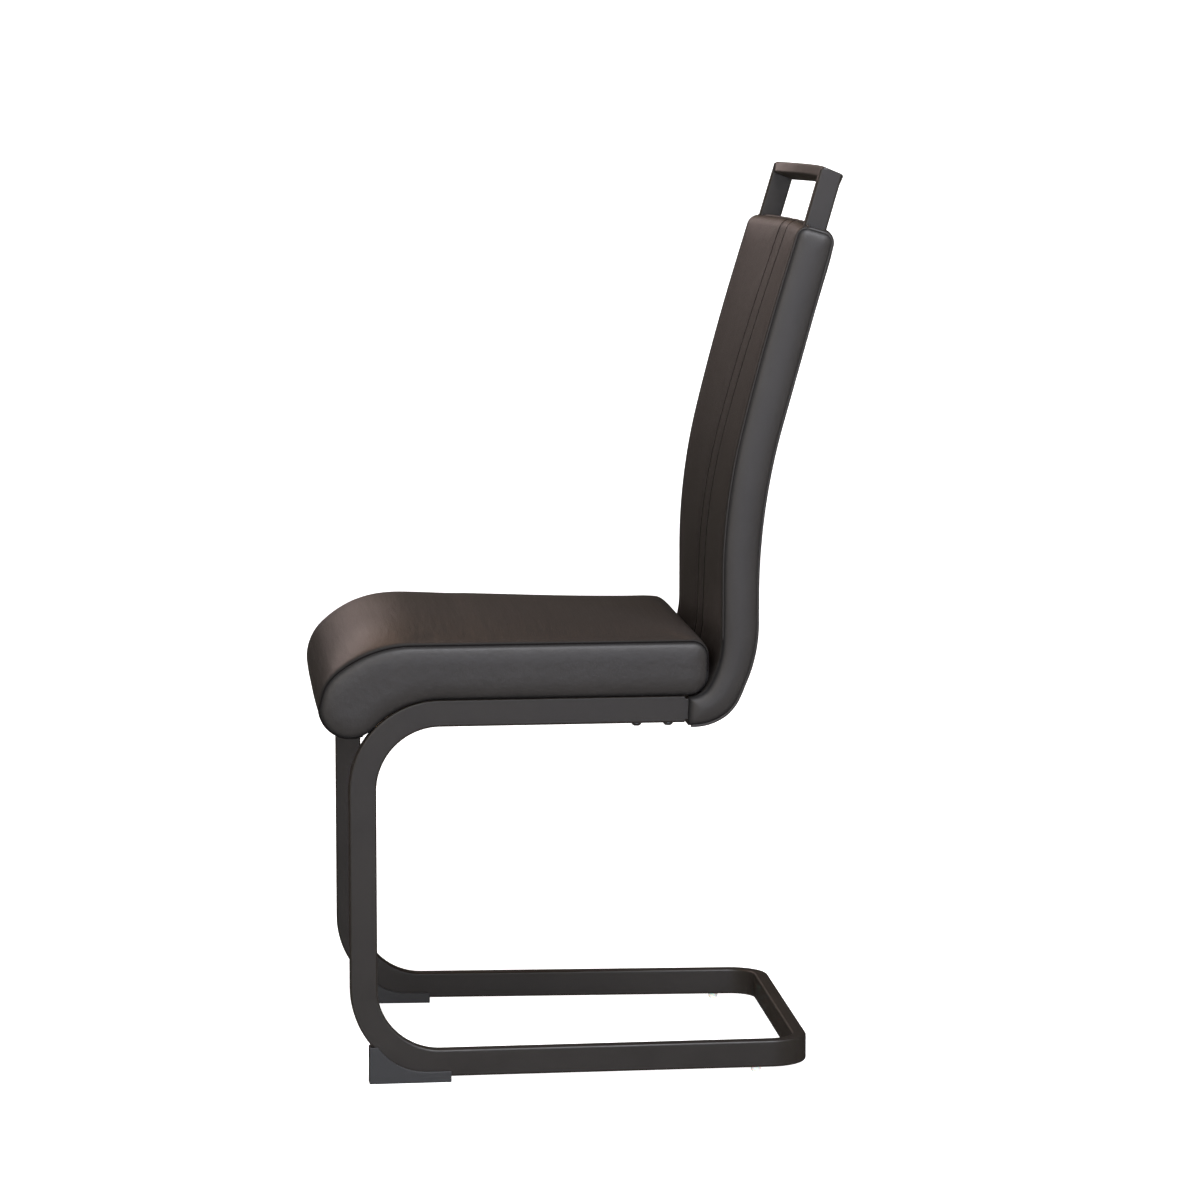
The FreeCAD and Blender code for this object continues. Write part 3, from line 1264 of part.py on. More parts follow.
def make_front_foot(side, hand):
    body = new_body("FrontFoot" + hand)
    front, rear = "foot_front", "(foot_front + foot_length)"
    curve = "(foot_front + foot_curve_start)"
    curve_end = f"{curve} - sqrt(foot_curve ^ 2 - (foot_curve + foot_rear_tall - foot_tall) ^ 2)"
    side_view = [
        (front, "0"),
        (rear, "0"),
        (rear, "foot_rear_tall"),
        (curve, "foot_rear_tall"),
        (curve_end, "foot_tall", "foot_curve", -1),
        (front, "foot_tall"),
    ]
    wide = "tube_width + 2 * foot_room + 2 * foot_wall"
    pad(body, outline(new_sketch(body, "FootOutline" + hand, "YZ_Plane"), side_view), wide)
    half = value(wide) / 2

    def outer_rim(edge):
        middle = edge.valueAt((edge.FirstParameter + edge.LastParameter) / 2)
        return on_skin(edge, half, "x") and middle.z > 0.01

    round_edges(body, "foot_wall / 2", outer_rim)
    clear = "(bend_outer + foot_room)"
    centre_z = "(foot_gap + bend_outer)"
    ahead = "(foot_front - 5)"
    saddle = [
        (ahead, centre_z),
        (ahead, f"{centre_z} - sqrt({clear} ^ 2 - (bend_outer - {ahead}) ^ 2)"),
        ("bend_outer", "foot_gap - foot_room", clear, 1),
        (f"{rear} + 5", "foot_gap - foot_room"),
        (f"{rear} + 5", centre_z),
    ]
    pocket(body, outline(new_sketch(body, "FootSaddle" + hand, "YZ_Plane"), saddle),
           "tube_width + 2 * foot_room")
    spot = [("0", "foot_screw_at")]
    drill_up(body, "FootHole" + hand, spot, "foot_screw_radius + bolt_room", "-1", "foot_gap + 1")
    sink = "foot_head_depth"
    drill_up(body, "FootSink" + hand, spot, "foot_head_radius + bolt_room", f"-{sink}", sink)
    side_frame_place(body, side)
    keep(body, "front_foot_" + hand.lower())


def make_rear_glide(side, hand):
    body = spun("RearGlide" + hand, [
        ("0", "0"),
        ("glide_foot_radius", "0"),
        ("glide_radius", "foot_gap * 0.4"),
        ("glide_radius", "foot_gap"),
        ("glide_stem_radius", "foot_gap"),
        ("glide_stem_radius", "foot_gap + glide_stem_tall"),
        ("0", "foot_gap + glide_stem_tall"),
    ])
    place(body, (f"{side} * {GLIDE_X}", f"leg_front + {GLIDE_AT}", "0"))
    keep(body, "rear_glide_" + hand.lower())


for side, hand in ((1, "Left"), (-1, "Right")):
    make_front_foot(side, hand)
    make_rear_glide(side, hand)
foot_screw = button_screw("FootScrew", "foot_screw_radius", "foot_gap - foot_head_depth + 3 * tube_wall",
                          "foot_head_radius", "foot_head_tall")
group("front_foot_screws", foot_screw, [
    side_frame_point(side, size.foot_screw_at * math.cos(TOE), size.foot_head_depth) for side in (1, -1)
])

doc.recompute()
for item in doc.Objects:
    if "Invalid" in item.State or "Error" in item.State:
        raise RuntimeError(f"{item.Label} failed to build")
os.makedirs("parts", exist_ok=True)
for piece in PARTS:
    shape = piece.Shape
    if shape.isNull() or not shape.isValid() or not shape.Solids:
        raise RuntimeError(piece.Label + " has no valid solid")
    shape.exportStep(f"parts/{piece.Label}.step")
    print(piece.Label, len(shape.Solids), "solids", round(shape.Volume), "mm3")
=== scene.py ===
import math

import bmesh
import bpy
import numpy as np
from bpy.props import FloatProperty, FloatVectorProperty, PointerProperty
from mathutils import Matrix, Vector


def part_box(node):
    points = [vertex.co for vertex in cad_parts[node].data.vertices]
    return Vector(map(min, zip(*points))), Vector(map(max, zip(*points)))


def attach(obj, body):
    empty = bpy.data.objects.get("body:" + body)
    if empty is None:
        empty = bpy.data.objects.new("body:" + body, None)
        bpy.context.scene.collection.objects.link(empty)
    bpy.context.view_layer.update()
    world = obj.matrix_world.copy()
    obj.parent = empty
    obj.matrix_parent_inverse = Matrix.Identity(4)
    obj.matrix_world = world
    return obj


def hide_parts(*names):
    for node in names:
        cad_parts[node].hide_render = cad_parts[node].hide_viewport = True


bl_info = {
    "name": "Cantilever dining chair",
    "version": (1, 0, 0),
    "blender": (4, 5, 0),
    "location": "3D View > Sidebar > Chair",
    "description": "Covers, piping, finishes and studio of a padded cantilever chair on its steel frame",
    "category": "Object",
}

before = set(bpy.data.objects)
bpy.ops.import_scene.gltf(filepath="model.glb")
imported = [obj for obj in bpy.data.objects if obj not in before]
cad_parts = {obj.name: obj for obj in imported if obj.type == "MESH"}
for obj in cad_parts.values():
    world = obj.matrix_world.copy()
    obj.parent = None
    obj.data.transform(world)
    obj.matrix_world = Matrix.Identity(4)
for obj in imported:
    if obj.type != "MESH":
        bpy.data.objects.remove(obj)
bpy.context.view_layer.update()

# Places that the covers share with the frame, in metres. Depth is measured back from the legs' front.
LEG_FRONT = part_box("side_tube_left")[0].y
RAIL_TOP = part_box("side_tube_left")[1].z
RAIL_WIDTH = 0.016
BEND_RADIUS = 0.100
HALF_FRONT = 0.220
TOE = math.radians(1.86)
LEAN = math.radians(16.4)

# How covers behave beside their seams, in metres: how wide they are drawn in on the skin and on the side
# panels, how wide the painted seam shade reaches on the side panels, and how far from its seam a side panel
# reaches its full swell.
SKIN_DIP_WIDTH, PANEL_DIP_WIDTH = 0.0028, 0.004
PANEL_PAINTED_SHADE_WIDTH = 0.0034
PANEL_REACH = 0.025

STEEL_NODES = (
    "side_tube_left", "side_tube_right", "rear_floor_tube", "front_seat_cross_tube", "rear_seat_cross_tube",
    "back_upright_left", "back_upright_right",
)


# Colours and nodes

def linear(hex_code, alpha=1.0):
    """sRGB hex to linear: c / 12.92 below 0.04045, otherwise ((c + 0.055) / 1.055) ^ 2.4."""
    value = np.array([int(hex_code[i:i + 2], 16) for i in (1, 3, 5)]) / 255
    value = np.where(value <= 0.04045, value / 12.92, ((value + 0.055) / 1.055) ** 2.4)
    return (*value.tolist(), alpha)


def lightened(colour, times):
    """A colour with its three channels times a number."""
    return tuple(min(channel * times, 1.0) for channel in colour[:3]) + (1.0,)


def add_node(tree, kind, inputs=None, **settings):
    """One node with its settings. An input is a number, a colour or the socket that feeds it."""
    node = tree.nodes.new(kind)
    for name, setting in settings.items():
        setattr(node, name, setting)
    for name, source in (inputs or {}).items():
        if isinstance(source, bpy.types.NodeSocket):
            tree.links.new(source, node.inputs[name])
        else:
            node.inputs[name].default_value = source
    return node


def new_material(name, roughness, **shader):
    """A material with a principled shader. Uniform values go straight on the shader's sockets."""
    material = bpy.data.materials.new(name)
    material.use_nodes = True
    tree = material.node_tree
    tree.nodes.clear()
    surface = add_node(tree, "ShaderNodeBsdfPrincipled")
    surface.inputs["Roughness"].default_value = roughness
    for socket, number in shader.items():
        surface.inputs[socket.replace("_", " ")].default_value = number
    output = add_node(tree, "ShaderNodeOutputMaterial")
    tree.links.new(surface.outputs["BSDF"], output.inputs["Surface"])
    place = add_node(tree, "ShaderNodeTexCoord").outputs["Object"]
    return material, tree, surface, place


def tinted(tree, amount, low, high):
    """Colour between two colours by a value. Inputs 0, 6 and 7 are the mix node's value and colours."""
    return add_node(tree, "ShaderNodeMix", {0: amount, 6: low, 7: high}, data_type="RGBA").outputs[2]


def spread_of(tree, amount, low, high, to_low, to_high):
    """A value carried from one range to another."""
    return add_node(tree, "ShaderNodeMapRange", {
        "Value": amount, "From Min": low, "From Max": high, "To Min": to_low, "To Max": to_high,
    }).outputs["Result"]


def noise(tree, place, scale, detail=2.0, **settings):
    """The value of a noise pattern, with its scale in grains a metre."""
    inputs = {"Vector": place, "Scale": scale, "Detail": detail}
    inputs.update({name.title(): number for name, number in settings.items()})
    return add_node(tree, "ShaderNodeTexNoise", inputs).outputs["Fac"]


def stretched(tree, place, scale):
    """The place with its three axes scaled apart, for a pattern drawn out along one of them."""
    return add_node(tree, "ShaderNodeMapping", {"Vector": place, "Scale": scale}).outputs["Vector"]


def bumped(tree, height, strength, distance, under=None):
    """A normal raised by a value over a distance in metres, on top of another normal where there is one."""
    inputs = {"Height": height, "Strength": strength, "Distance": distance}
    if under is not None:
        inputs["Normal"] = under
    return add_node(tree, "ShaderNodeBump", inputs).outputs["Normal"]


def finish(tree, surface, **sources):
    """Feeds sockets of the principled shader, named with an underscore for each space."""
    for socket, source in sources.items():
        tree.links.new(source, surface.inputs[socket.replace("_", " ")])


def leather_material(name, colour, crease_scale):
    """Black PVC imitation leather, calendered on cloth and embossed with a fine pebble grain.

    The emboss breaks the highlight into small soft points, the film is a little glossier on the
    pebbles than in the valleys, bends show faint creases along the bend, and the film is dull in the
    seams, where its colour is darkened as painted seam shade.
    """
    material, tree, surface, place = new_material(name, 0.5, IOR=1.5)
    pebble_size, pore_size, cloud_size = 0.0013, 0.0006, 0.06
    pebbles = add_node(tree, "ShaderNodeTexVoronoi", {"Vector": place, "Scale": 1 / pebble_size},
                       feature="DISTANCE_TO_EDGE").outputs["Distance"]
    pores = noise(tree, place, 1 / pore_size)
    clouds = noise(tree, place, 1 / cloud_size, 3.0)
    creases = noise(tree, stretched(tree, place, crease_scale), 1.0, 4.0, roughness=0.55)
    # The seam mask darkens the base colour as painted seam shade and makes the film rougher.
    seam = add_node(tree, "ShaderNodeAttribute", attribute_name="seam").outputs["Fac"]
    film = tinted(tree, clouds, tuple(colour), lightened(colour, 1.35))
    valley = spread_of(tree, pebbles, 0.0, 0.25, 0.56, 0.44)
    matt = add_node(tree, "ShaderNodeMath", {0: valley, 1: spread_of(tree, seam, 0.0, 1.0, 0.0, 0.5)})
    creased = bumped(tree, creases, 0.5, 0.0012)
    pebbled = bumped(tree, pebbles, 0.35, 0.00025, creased)
    # Painted seam shade: the base colour falls to 12% of the leather's colour in the seams.
    finish(tree, surface, Base_Color=tinted(tree, seam, film, lightened(colour, 0.12)),
           Roughness=matt.outputs[0], Normal=bumped(tree, pores, 0.25, 0.00012, pebbled))
    return material


def powder_coat_material(colour):
    """Polyester powder coat, sprayed and baked on steel tube: an even black with a fine orange peel."""
    material, tree, surface, place = new_material("powder_coated_steel_sprayed_and_baked", 0.46, IOR=1.5)
    peel_size, drift_size = 0.0011, 0.05
    peel = noise(tree, place, 1 / peel_size, 3.0)
    drift = noise(tree, place, 1 / drift_size)
    finish(tree, surface, Base_Color=tinted(tree, drift, tuple(colour), lightened(colour, 1.25)),
           Roughness=spread_of(tree, drift, 0.3, 0.7, 0.42, 0.50), Normal=bumped(tree, peel, 0.35, 0.00015))
    return material


def zinc_material():
    """Zinc plating on turned steel: pale grey metal with fine turning marks and a faint cloudy bloom."""
    material, tree, surface, place = new_material("zinc_plated_steel_turned", 0.34, Metallic=1.0)
    bloom_size, mark_size = 0.003, 0.0004
    bloom = noise(tree, place, 1 / bloom_size, 3.0)
    marks = noise(tree, place, 1 / mark_size, 1.0)
    finish(tree, surface, Base_Color=tinted(tree, bloom, linear("#8f9194"), linear("#b9bbbd")),
           Normal=bumped(tree, marks, 0.2, 0.00005))
    return material


def drawn_steel_material():
    """Uncoated cold-drawn steel tube: dull grey metal with streaks along the draw."""
    material, tree, surface, place = new_material("drawn_steel_tube_uncoated", 0.4, Metallic=1.0)
    streaks = noise(tree, stretched(tree, place, (12.0, 900.0, 900.0)), 1.0)
    finish(tree, surface, Base_Color=tinted(tree, streaks, linear("#55565a"), linear("#77787b")))
    return material


def plywood_material():
    """Rotary-cut plywood, moulded and sanded: pale wood with long soft grain and short pores."""
    material, tree, surface, place = new_material("moulded_plywood_sanded", 0.6)
    grain = noise(tree, stretched(tree, place, (9.0, 160.0, 160.0)), 1.0, 6.0, distortion=0.6)
    finish(tree, surface, Base_Color=tinted(tree, grain, linear("#9c7a52"), linear("#cfae80")),
           Normal=bumped(tree, grain, 0.3, 0.0002))
    return material


def seam_shade_cord_material():
    """Near-black matt cord for the seams, darker than the covers as painted seam shade: bonded polyester
    thread, black twisted yarn, with the lay of the twist every 0.6 mm.
    """
    material, tree, surface, place = new_material("black_cord_painted_seam_shade", 0.95, Specular_IOR_Level=0.1)
    lay = noise(tree, place, 1 / 0.0006)
    finish(tree, surface, Base_Color=tinted(tree, lay, linear("#060505"), linear("#141110")))
    return material


def lining_material():
    """Spun-bonded polypropylene cloth: matt black felted fibres with a pattern of small bond points."""
    material, tree, surface, place = new_material("spun_bonded_polypropylene_cloth", 0.85)
    fibre_size, bond_spacing = 0.0008, 0.0018
    fibres = noise(tree, place, 1 / fibre_size, 5.0)
    bonds = add_node(tree, "ShaderNodeTexVoronoi", {"Vector": place, "Scale": 1 / bond_spacing})
    bonded = bumped(tree, bonds.outputs["Distance"], 0.4, 0.0003)
    finish(tree, surface, Base_Color=tinted(tree, fibres, linear("#121212"), linear("#2a2a2a")),
           Normal=bumped(tree, fibres, 0.5, 0.0003, bonded))
    return material


def shoe_material():
    """Polypropylene, injection-moulded against a spark-eroded mould: satin black with a fine even texture."""
    material, tree, surface, place = new_material("polypropylene_injection_moulded", 0.5, IOR=1.49)
    texture = noise(tree, place, 1 / 0.0005)
    finish(tree, surface, Base_Color=tinted(tree, texture, linear("#1d1d1e"), linear("#2a2a2b")),
           Normal=bumped(tree, texture, 0.3, 0.0001))
    return material


def glide_material():
    """Low-density polyethylene, injection-moulded without pigment: milky and a little see-through."""
    material, tree, surface, place = new_material(
        "polyethylene_unpigmented_moulded", 0.38, IOR=1.51, Subsurface_Weight=0.6, Subsurface_Scale=0.003)
    milk = noise(tree, place, 1 / 0.004)
    finish(tree, surface, Base_Color=tinted(tree, milk, linear("#b5b5b0"), linear("#d2d2cd")))
    return material


# Lines and surfaces

def side_run(start, heading, steps, offset=0.0):
    """Points of tangent lines and arcs in the side view.

    A line runs p + t * (cos a, sin a). An arc of radius r round c runs c + r * (sin a, -cos a) for a
    turn to the left. The whole run is moved to its left by the offset.
    """
    angle = math.radians(heading)
    here = np.array(start, float) + offset * np.array([-math.sin(angle), math.cos(angle)])
    pieces = [here[None]]
    for step in steps:
        if isinstance(step, tuple):
            side = math.copysign(1, step[1])
            radius = step[0] - side * offset
            centre = here + side * radius * np.array([-math.sin(angle), math.cos(angle)])
            turns = angle + np.linspace(0, math.radians(step[1]), 33)[1:]
            arc = centre + side * radius * np.stack([np.sin(turns), -np.cos(turns)], 1)
            pieces.append(arc)
            here, angle = arc[-1], turns[-1]
        else:
            here = here + step * np.array([math.cos(angle), math.sin(angle)])
            pieces.append(here[None])
    return np.concatenate(pieces)


def travelled(points):
    """Length travelled along a polyline up to each of its points."""
    return np.concatenate([[0], np.cumsum(np.linalg.norm(np.diff(points, axis=0), axis=1))])


def along(points, places):
    """Points of a polyline at shares of its length, from 0 to 1."""
    lengths = travelled(points)
    wanted = np.asarray(places) * lengths[-1]
    return np.stack([np.interp(wanted, lengths, points[:, axis]) for axis in range(points.shape[1])], -1)


def cut_at(points, shares):
    """A polyline cut at shares of its length into runs that share their ends."""
    shares = [0.0, *shares, 1.0]
    return [along(points, np.linspace(low, high, 900)) for low, high in zip(shares, shares[1:])]


def outward(loop):
    """Unit normals of a closed side view that runs clockwise: its direction turned a quarter left."""
    ahead = np.roll(loop, -1, 0) - np.roll(loop, 1, 0)
    ahead /= np.linalg.norm(ahead, axis=1)[:, None]
    return np.stack([-ahead[:, 1], ahead[:, 0]], 1)


def grid_faces(rows, columns, closed_rows=False):
    """Corner numbers of the quads of a grid, its last row joined to the first when closed."""
    row = np.arange(rows if closed_rows else rows - 1)[:, None]
    column = np.arange(columns - 1)[None]
    following = (row + 1) % rows
    corners = [row * columns + column, row * columns + column + 1,
               following * columns + column + 1, following * columns + column]
    return np.stack([corner.ravel() for corner in corners], 1)


def new_piece(name, vertices, faces, material, merge=None, seams=None):
    """A mesh object at the origin that rides on the chair. Faces are arrays of corner numbers.

    Seams is one number a vertex, 1 in a seam and 0 away from it, for the cover's material, which paints shade
    in the seams by it.
    """
    mesh = bpy.data.meshes.new(name)
    corners = [face.tolist() for group in faces for face in group]
    mesh.from_pydata(vertices.reshape(-1, 3).tolist(), [], corners)
    if seams is not None:
        # The seam attribute is the mask of the cover's painted seam shade.
        mesh.attributes.new("seam", "FLOAT", "POINT").data.foreach_set("value", seams)
    edit = bmesh.new()
    edit.from_mesh(mesh)
    if merge:
        bmesh.ops.remove_doubles(edit, verts=edit.verts, dist=merge)
    bmesh.ops.recalc_face_normals(edit, faces=edit.faces)
    edit.to_mesh(mesh)
    edit.free()
    mesh.polygons.foreach_set("use_smooth", [True] * len(mesh.polygons))
    mesh.update()
    piece = bpy.data.objects.new(name, mesh)
    bpy.context.scene.collection.objects.link(piece)
    mesh.materials.append(material)
    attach(piece, "root")
    return piece


def cord_mesh(path, radius, centre, sides=12):
    """A round cord: path + r * (cos a * u + sin a * v), with u and v square to the path.

    U points away from the centre. Two flat faces close the ends.
    """
    ahead = np.gradient(path, axis=0)
    ahead /= np.linalg.norm(ahead, axis=1)[:, None]
    away = path - centre
    away -= (away * ahead).sum(1)[:, None] * ahead
    away /= np.linalg.norm(away, axis=1)[:, None]
    across = np.cross(ahead, away)
    turn = np.linspace(0, 2 * math.pi, sides, endpoint=False)[None, :, None]
    rings = path[:, None] + radius * (np.cos(turn) * away[:, None] + np.sin(turn) * across[:, None])
    count = len(path)
    ring = np.arange(count - 1)[:, None] * sides
    corner = np.arange(sides)[None]
    after = (corner + 1) % sides
    corners = (ring + corner, ring + after, ring + sides + after, ring + sides + corner)
    quads = np.stack([place.ravel() for place in corners], 1)
    caps = np.stack([np.arange(sides)[::-1], np.arange(sides) + (count - 1) * sides])
    return rings.reshape(-1, 3), [quads, caps]


def piped(name, line, radius, centre, material):
    """A cord laid along a seam."""
    vertices, faces = cord_mesh(line, radius, centre)
    return new_piece(name, vertices, faces, material)


def spline_weights(places, count, closed):
    """Cubic B-spline weights that carry a coarse row of values to finer places given in coarse steps."""
    places = np.asarray(places, float)
    low = np.floor(places).astype(int)
    t = places - low
    weights = np.stack([
        (1 - t) ** 3, 3 * t ** 3 - 6 * t ** 2 + 4, -3 * t ** 3 + 3 * t ** 2 + 3 * t + 1, t ** 3]) / 6
    matrix = np.zeros((len(places), count))
    for step in range(4):
        column = low - 1 + step
        column = column % count if closed else np.clip(column, 0, count - 1)
        np.add.at(matrix, (np.arange(len(places)), column), weights[step])
    return matrix


def settled(vertices, rows, columns, closed_rows, pinned, pressure, most):
    """How far sewn cloth moves when the padding presses it outwards: a grid of offsets in metres.

    The cloth is pinned where the mask says, blown up with a steady pressure for 20 frames without
    gravity, and each point's move is eased to a limit: m * tanh(d / m).
    """
    mesh = bpy.data.meshes.new("cloth_under_pressure")
    mesh.from_pydata(vertices.reshape(-1, 3).tolist(), [], grid_faces(rows, columns, closed_rows).tolist())
    cloth = bpy.data.objects.new("cloth_under_pressure", mesh)
    bpy.context.scene.collection.objects.link(cloth)
    group = cloth.vertex_groups.new(name="sewn")
    group.add(np.flatnonzero(pinned.ravel()).tolist(), 1.0, "REPLACE")
    modifier = cloth.modifiers.new("Cloth", "CLOTH")
    for name, setting in {
        "quality": 6, "mass": 0.4, "tension_stiffness": 20, "compression_stiffness": 12, "shear_stiffness": 8,
        "bending_stiffness": 3, "air_damping": 2, "use_pressure": True, "uniform_pressure_force": pressure,
        "use_pressure_volume": True, "target_volume": 0, "vertex_group_mass": "sewn",
    }.items():
        setattr(modifier.settings, name, setting)
    modifier.settings.effector_weights.gravity = 0
    frames = 20
    modifier.point_cache.frame_start = 1
    modifier.point_cache.frame_end = frames
    scene = bpy.context.scene
    for number in range(1, frames + 1):
        scene.frame_set(number)
    evaluated = cloth.evaluated_get(bpy.context.evaluated_depsgraph_get())
    moved = np.empty(len(evaluated.data.vertices) * 3, np.float32)
    evaluated.data.vertices.foreach_get("co", moved)
    scene.frame_set(1)
    offset = moved.reshape(rows, columns, 3).astype(float) - vertices.reshape(rows, columns, 3)
    bpy.data.objects.remove(cloth)
    bpy.data.meshes.remove(mesh)
    length = np.linalg.norm(offset, axis=2, keepdims=True) + 1e-9
    return offset / length * most * np.tanh(length / most)


# Cushions

def sampled(runs, counts):
    """Each run at evenly spaced places, its last point left to the next run."""
    return [along(run, np.linspace(0, 1, count, endpoint=False)) for run, count in zip(runs, counts)]


def patch_between(first, last, left, right):
    """Coons patch of four edges: ruled one way plus ruled the other, less the corners' own blend."""
    s = np.linspace(0, 1, len(first))[None, :, None]
    t = np.linspace(0, 1, len(left))[:, None, None]
    ruled = (1 - t) * first[None] + t * last[None]
    sides = (1 - s) * left[:, None] + s * right[:, None]
    corners = (1 - t) * ((1 - s) * first[0] + s * first[-1]) + t * ((1 - s) * last[0] + s * last[-1])
    return ruled + sides - corners


def seam_field(loop, points):
    """Distance from each point to the closed side view, and the inward normal at its nearest corner.

    The distance is |p - a - t * (b - a)| with t held from 0 to 1, the smallest over all edges.
    """
    a, edge = loop, np.roll(loop, -1, 0) - loop
    inward = -outward(loop)
    flat = points.reshape(-1, 2)
    distance, normal = np.empty(len(flat)), np.empty_like(flat)
    for start in range(0, len(flat), 4000):
        block = flat[start:start + 4000, None]
        t = np.clip(((block - a) * edge).sum(2) / (edge ** 2).sum(1), 0, 1)
        distance[start:start + 4000] = np.linalg.norm(block - a - t[..., None] * edge, axis=2).min(1)
        normal[start:start + 4000] = inward[np.linalg.norm(block - a, axis=2).argmin(1)]
    return distance.reshape(points.shape[:-1]), normal.reshape(points.shape)


def swelling(distance, bulge, reach):
    """A padded panel's rise from its seam: b * (1 - (1 - d / r) ^ 2.2) ^ 0.5 up to the reach r."""
    share = np.clip(distance / reach, 0, 1)
    return bulge * np.sqrt(np.clip(1 - (1 - share) ** 2.2, 0, 1))


def drawn_in(distance, depth, width):
    """How far a cover is drawn in beside a seam: d * exp(-x / w)."""
    return depth * np.exp(-distance / width)


def beside(distance, width):
    """How near a seam is: exp(-(x / w) ^ 2)."""
    return np.exp(-(distance / width) ** 2)


class Cushion:
    """Four runs of a side view, a skin carried across the chair and a padded panel on each side.

    The skin is skin(side view point, outward normal, place across, length travelled), and a side
    panel is flank(side view point, distance from the seam, inward normal). Sewn(length
    travelled, place across) says how near the skin is to a seam: the mask of its painted seam shade.
    """

    def __init__(self, runs, counts, spread, skin, flank, sewn):
        self.runs, self.counts, self.spread = runs, counts, spread
        self.skin, self.flank, self.sewn = skin, flank, sewn
        self.parts = sampled(runs, counts)
        self.loop = np.concatenate(self.parts)
        self.normals = outward(self.loop)
        self.travel = travelled(self.loop)
        self.moved = 0.0

    def skin_at(self, rows, spread):
        """Points of the skin for some rows of the side view at some places across."""
        return self.skin(
            self.loop[rows, None], self.normals[rows, None], spread[None, :], self.travel[rows, None])

    def press_out(self, counts, spread, sewn_rows, sewn_places, pressure, most):
        """Lets a coarse copy of the sewn skin swell as cloth, and keeps the moves for the fine skin."""
        coarse = Cushion(self.runs, counts, spread, self.skin, self.flank, self.sewn)
        rows = np.arange(len(coarse.loop))
        vertices = coarse.skin_at(rows, spread)
        pinned = np.zeros((len(rows), len(spread)), bool)
        pinned[:, [0, -1]] = True
        for place in sewn_places:
            pinned[:, np.abs(spread - place).argmin()] = True
        first = np.cumsum([0, *counts])
        for run in sewn_rows:
            pinned[first[run]:first[run + 1] + 1] = True
        offset = settled(vertices, len(rows), len(spread), True, pinned, pressure, most)
        fine_first = np.cumsum([0, *self.counts])
        places = np.interp(np.arange(len(self.loop)), fine_first, first)
        down = spline_weights(places, len(rows), True)
        across = spline_weights(np.interp(self.spread, spread, np.arange(len(spread))), len(spread), False)
        moved = np.einsum("ri,ijk,cj->rck", down, offset, across)
        self.moved = moved * np.tanh((1 - np.abs(self.spread)) * 20)[None, :, None]

    def build(self, name, material):
        """The closed mesh: the skin all round and the two side panels sewn to its edges."""
        rows, columns = len(self.loop), len(self.spread)
        skin = self.skin_at(np.arange(rows), self.spread) + self.moved
        vertices = [skin.reshape(-1, 3)]
        # How near each point of the skin is to a seam: the mask of the painted seam shade.
        sewn = self.sewn(self.travel[:, None], self.spread[None])
        seams = [np.broadcast_to(sewn, (rows, columns)).ravel()]
        faces = [grid_faces(rows, columns, True)]
        top, end, under, start = [
            np.concatenate([part, self.parts[(index + 1) % 4][:1]]) for index, part in enumerate(self.parts)]
        patch = patch_between(top, under[::-1], start[::-1], end)
        distance, inward = seam_field(self.loop, patch)
        for side in (1, -1):
            count = sum(len(block) for block in vertices)
            vertices.append((self.flank(patch, distance, inward) * (side, 1, 1)).reshape(-1, 3))
            # Painted seam shade on the side panels beside their seams.
            seams.append(beside(distance, PANEL_PAINTED_SHADE_WIDTH).ravel())
            faces.append(grid_faces(patch.shape[0], patch.shape[1]) + count)
        return new_piece(name, np.concatenate(vertices), faces, material,
                         merge=0.00002, seams=np.concatenate(seams))

    def seam_line(self, low, high, side, proud):
        """The seam beside a panel from one station to another, lifted diagonally out of it.

        A station is a run's number plus the share of that run.
        """
        first = np.cumsum([0, *self.counts])
        places = np.interp([low, high], np.arange(5), first)
        rows = np.arange(math.ceil(places[0]), math.floor(places[1]) + 1) % len(self.loop)
        line = self.skin_at(rows, np.array([float(side)]))[:, 0]
        out = np.column_stack([np.full(len(rows), float(side)), self.normals[rows]]) / math.sqrt(2)
        return line + proud * out


def eased_spread(count, edge_share):
    """Places across from -1 to 1, closer together towards the edges: (1 - e) * sin(pi s / 2) + e * s."""
    s = np.linspace(-1, 1, count)
    return (1 - edge_share) * np.sin(s * math.pi / 2) + edge_share * s


# Seat cushion

SEAT_REACH = 0.0321
CROWN_FROM = 0.150
NOSE_SWELL, BROW_SWELL = 0.0028, 0.0062
# How wide the painted shade beside the seat's side seams reaches.
SEAT_PAINTED_SHADE_WIDTH = 0.0026
SEAT_NEST_RADIUS = 0.0228
SEAT_NEST = (0.3745, RAIL_TOP + 0.023)
SEAT_REAR = SEAT_NEST[0] + SEAT_NEST_RADIUS
BOARD_TOP = RAIL_TOP + 0.012


def half_width(depth):
    """Outer face of the side frames: half the front width less depth * tan(toe)."""
    return HALF_FRONT - depth * math.tan(TOE)


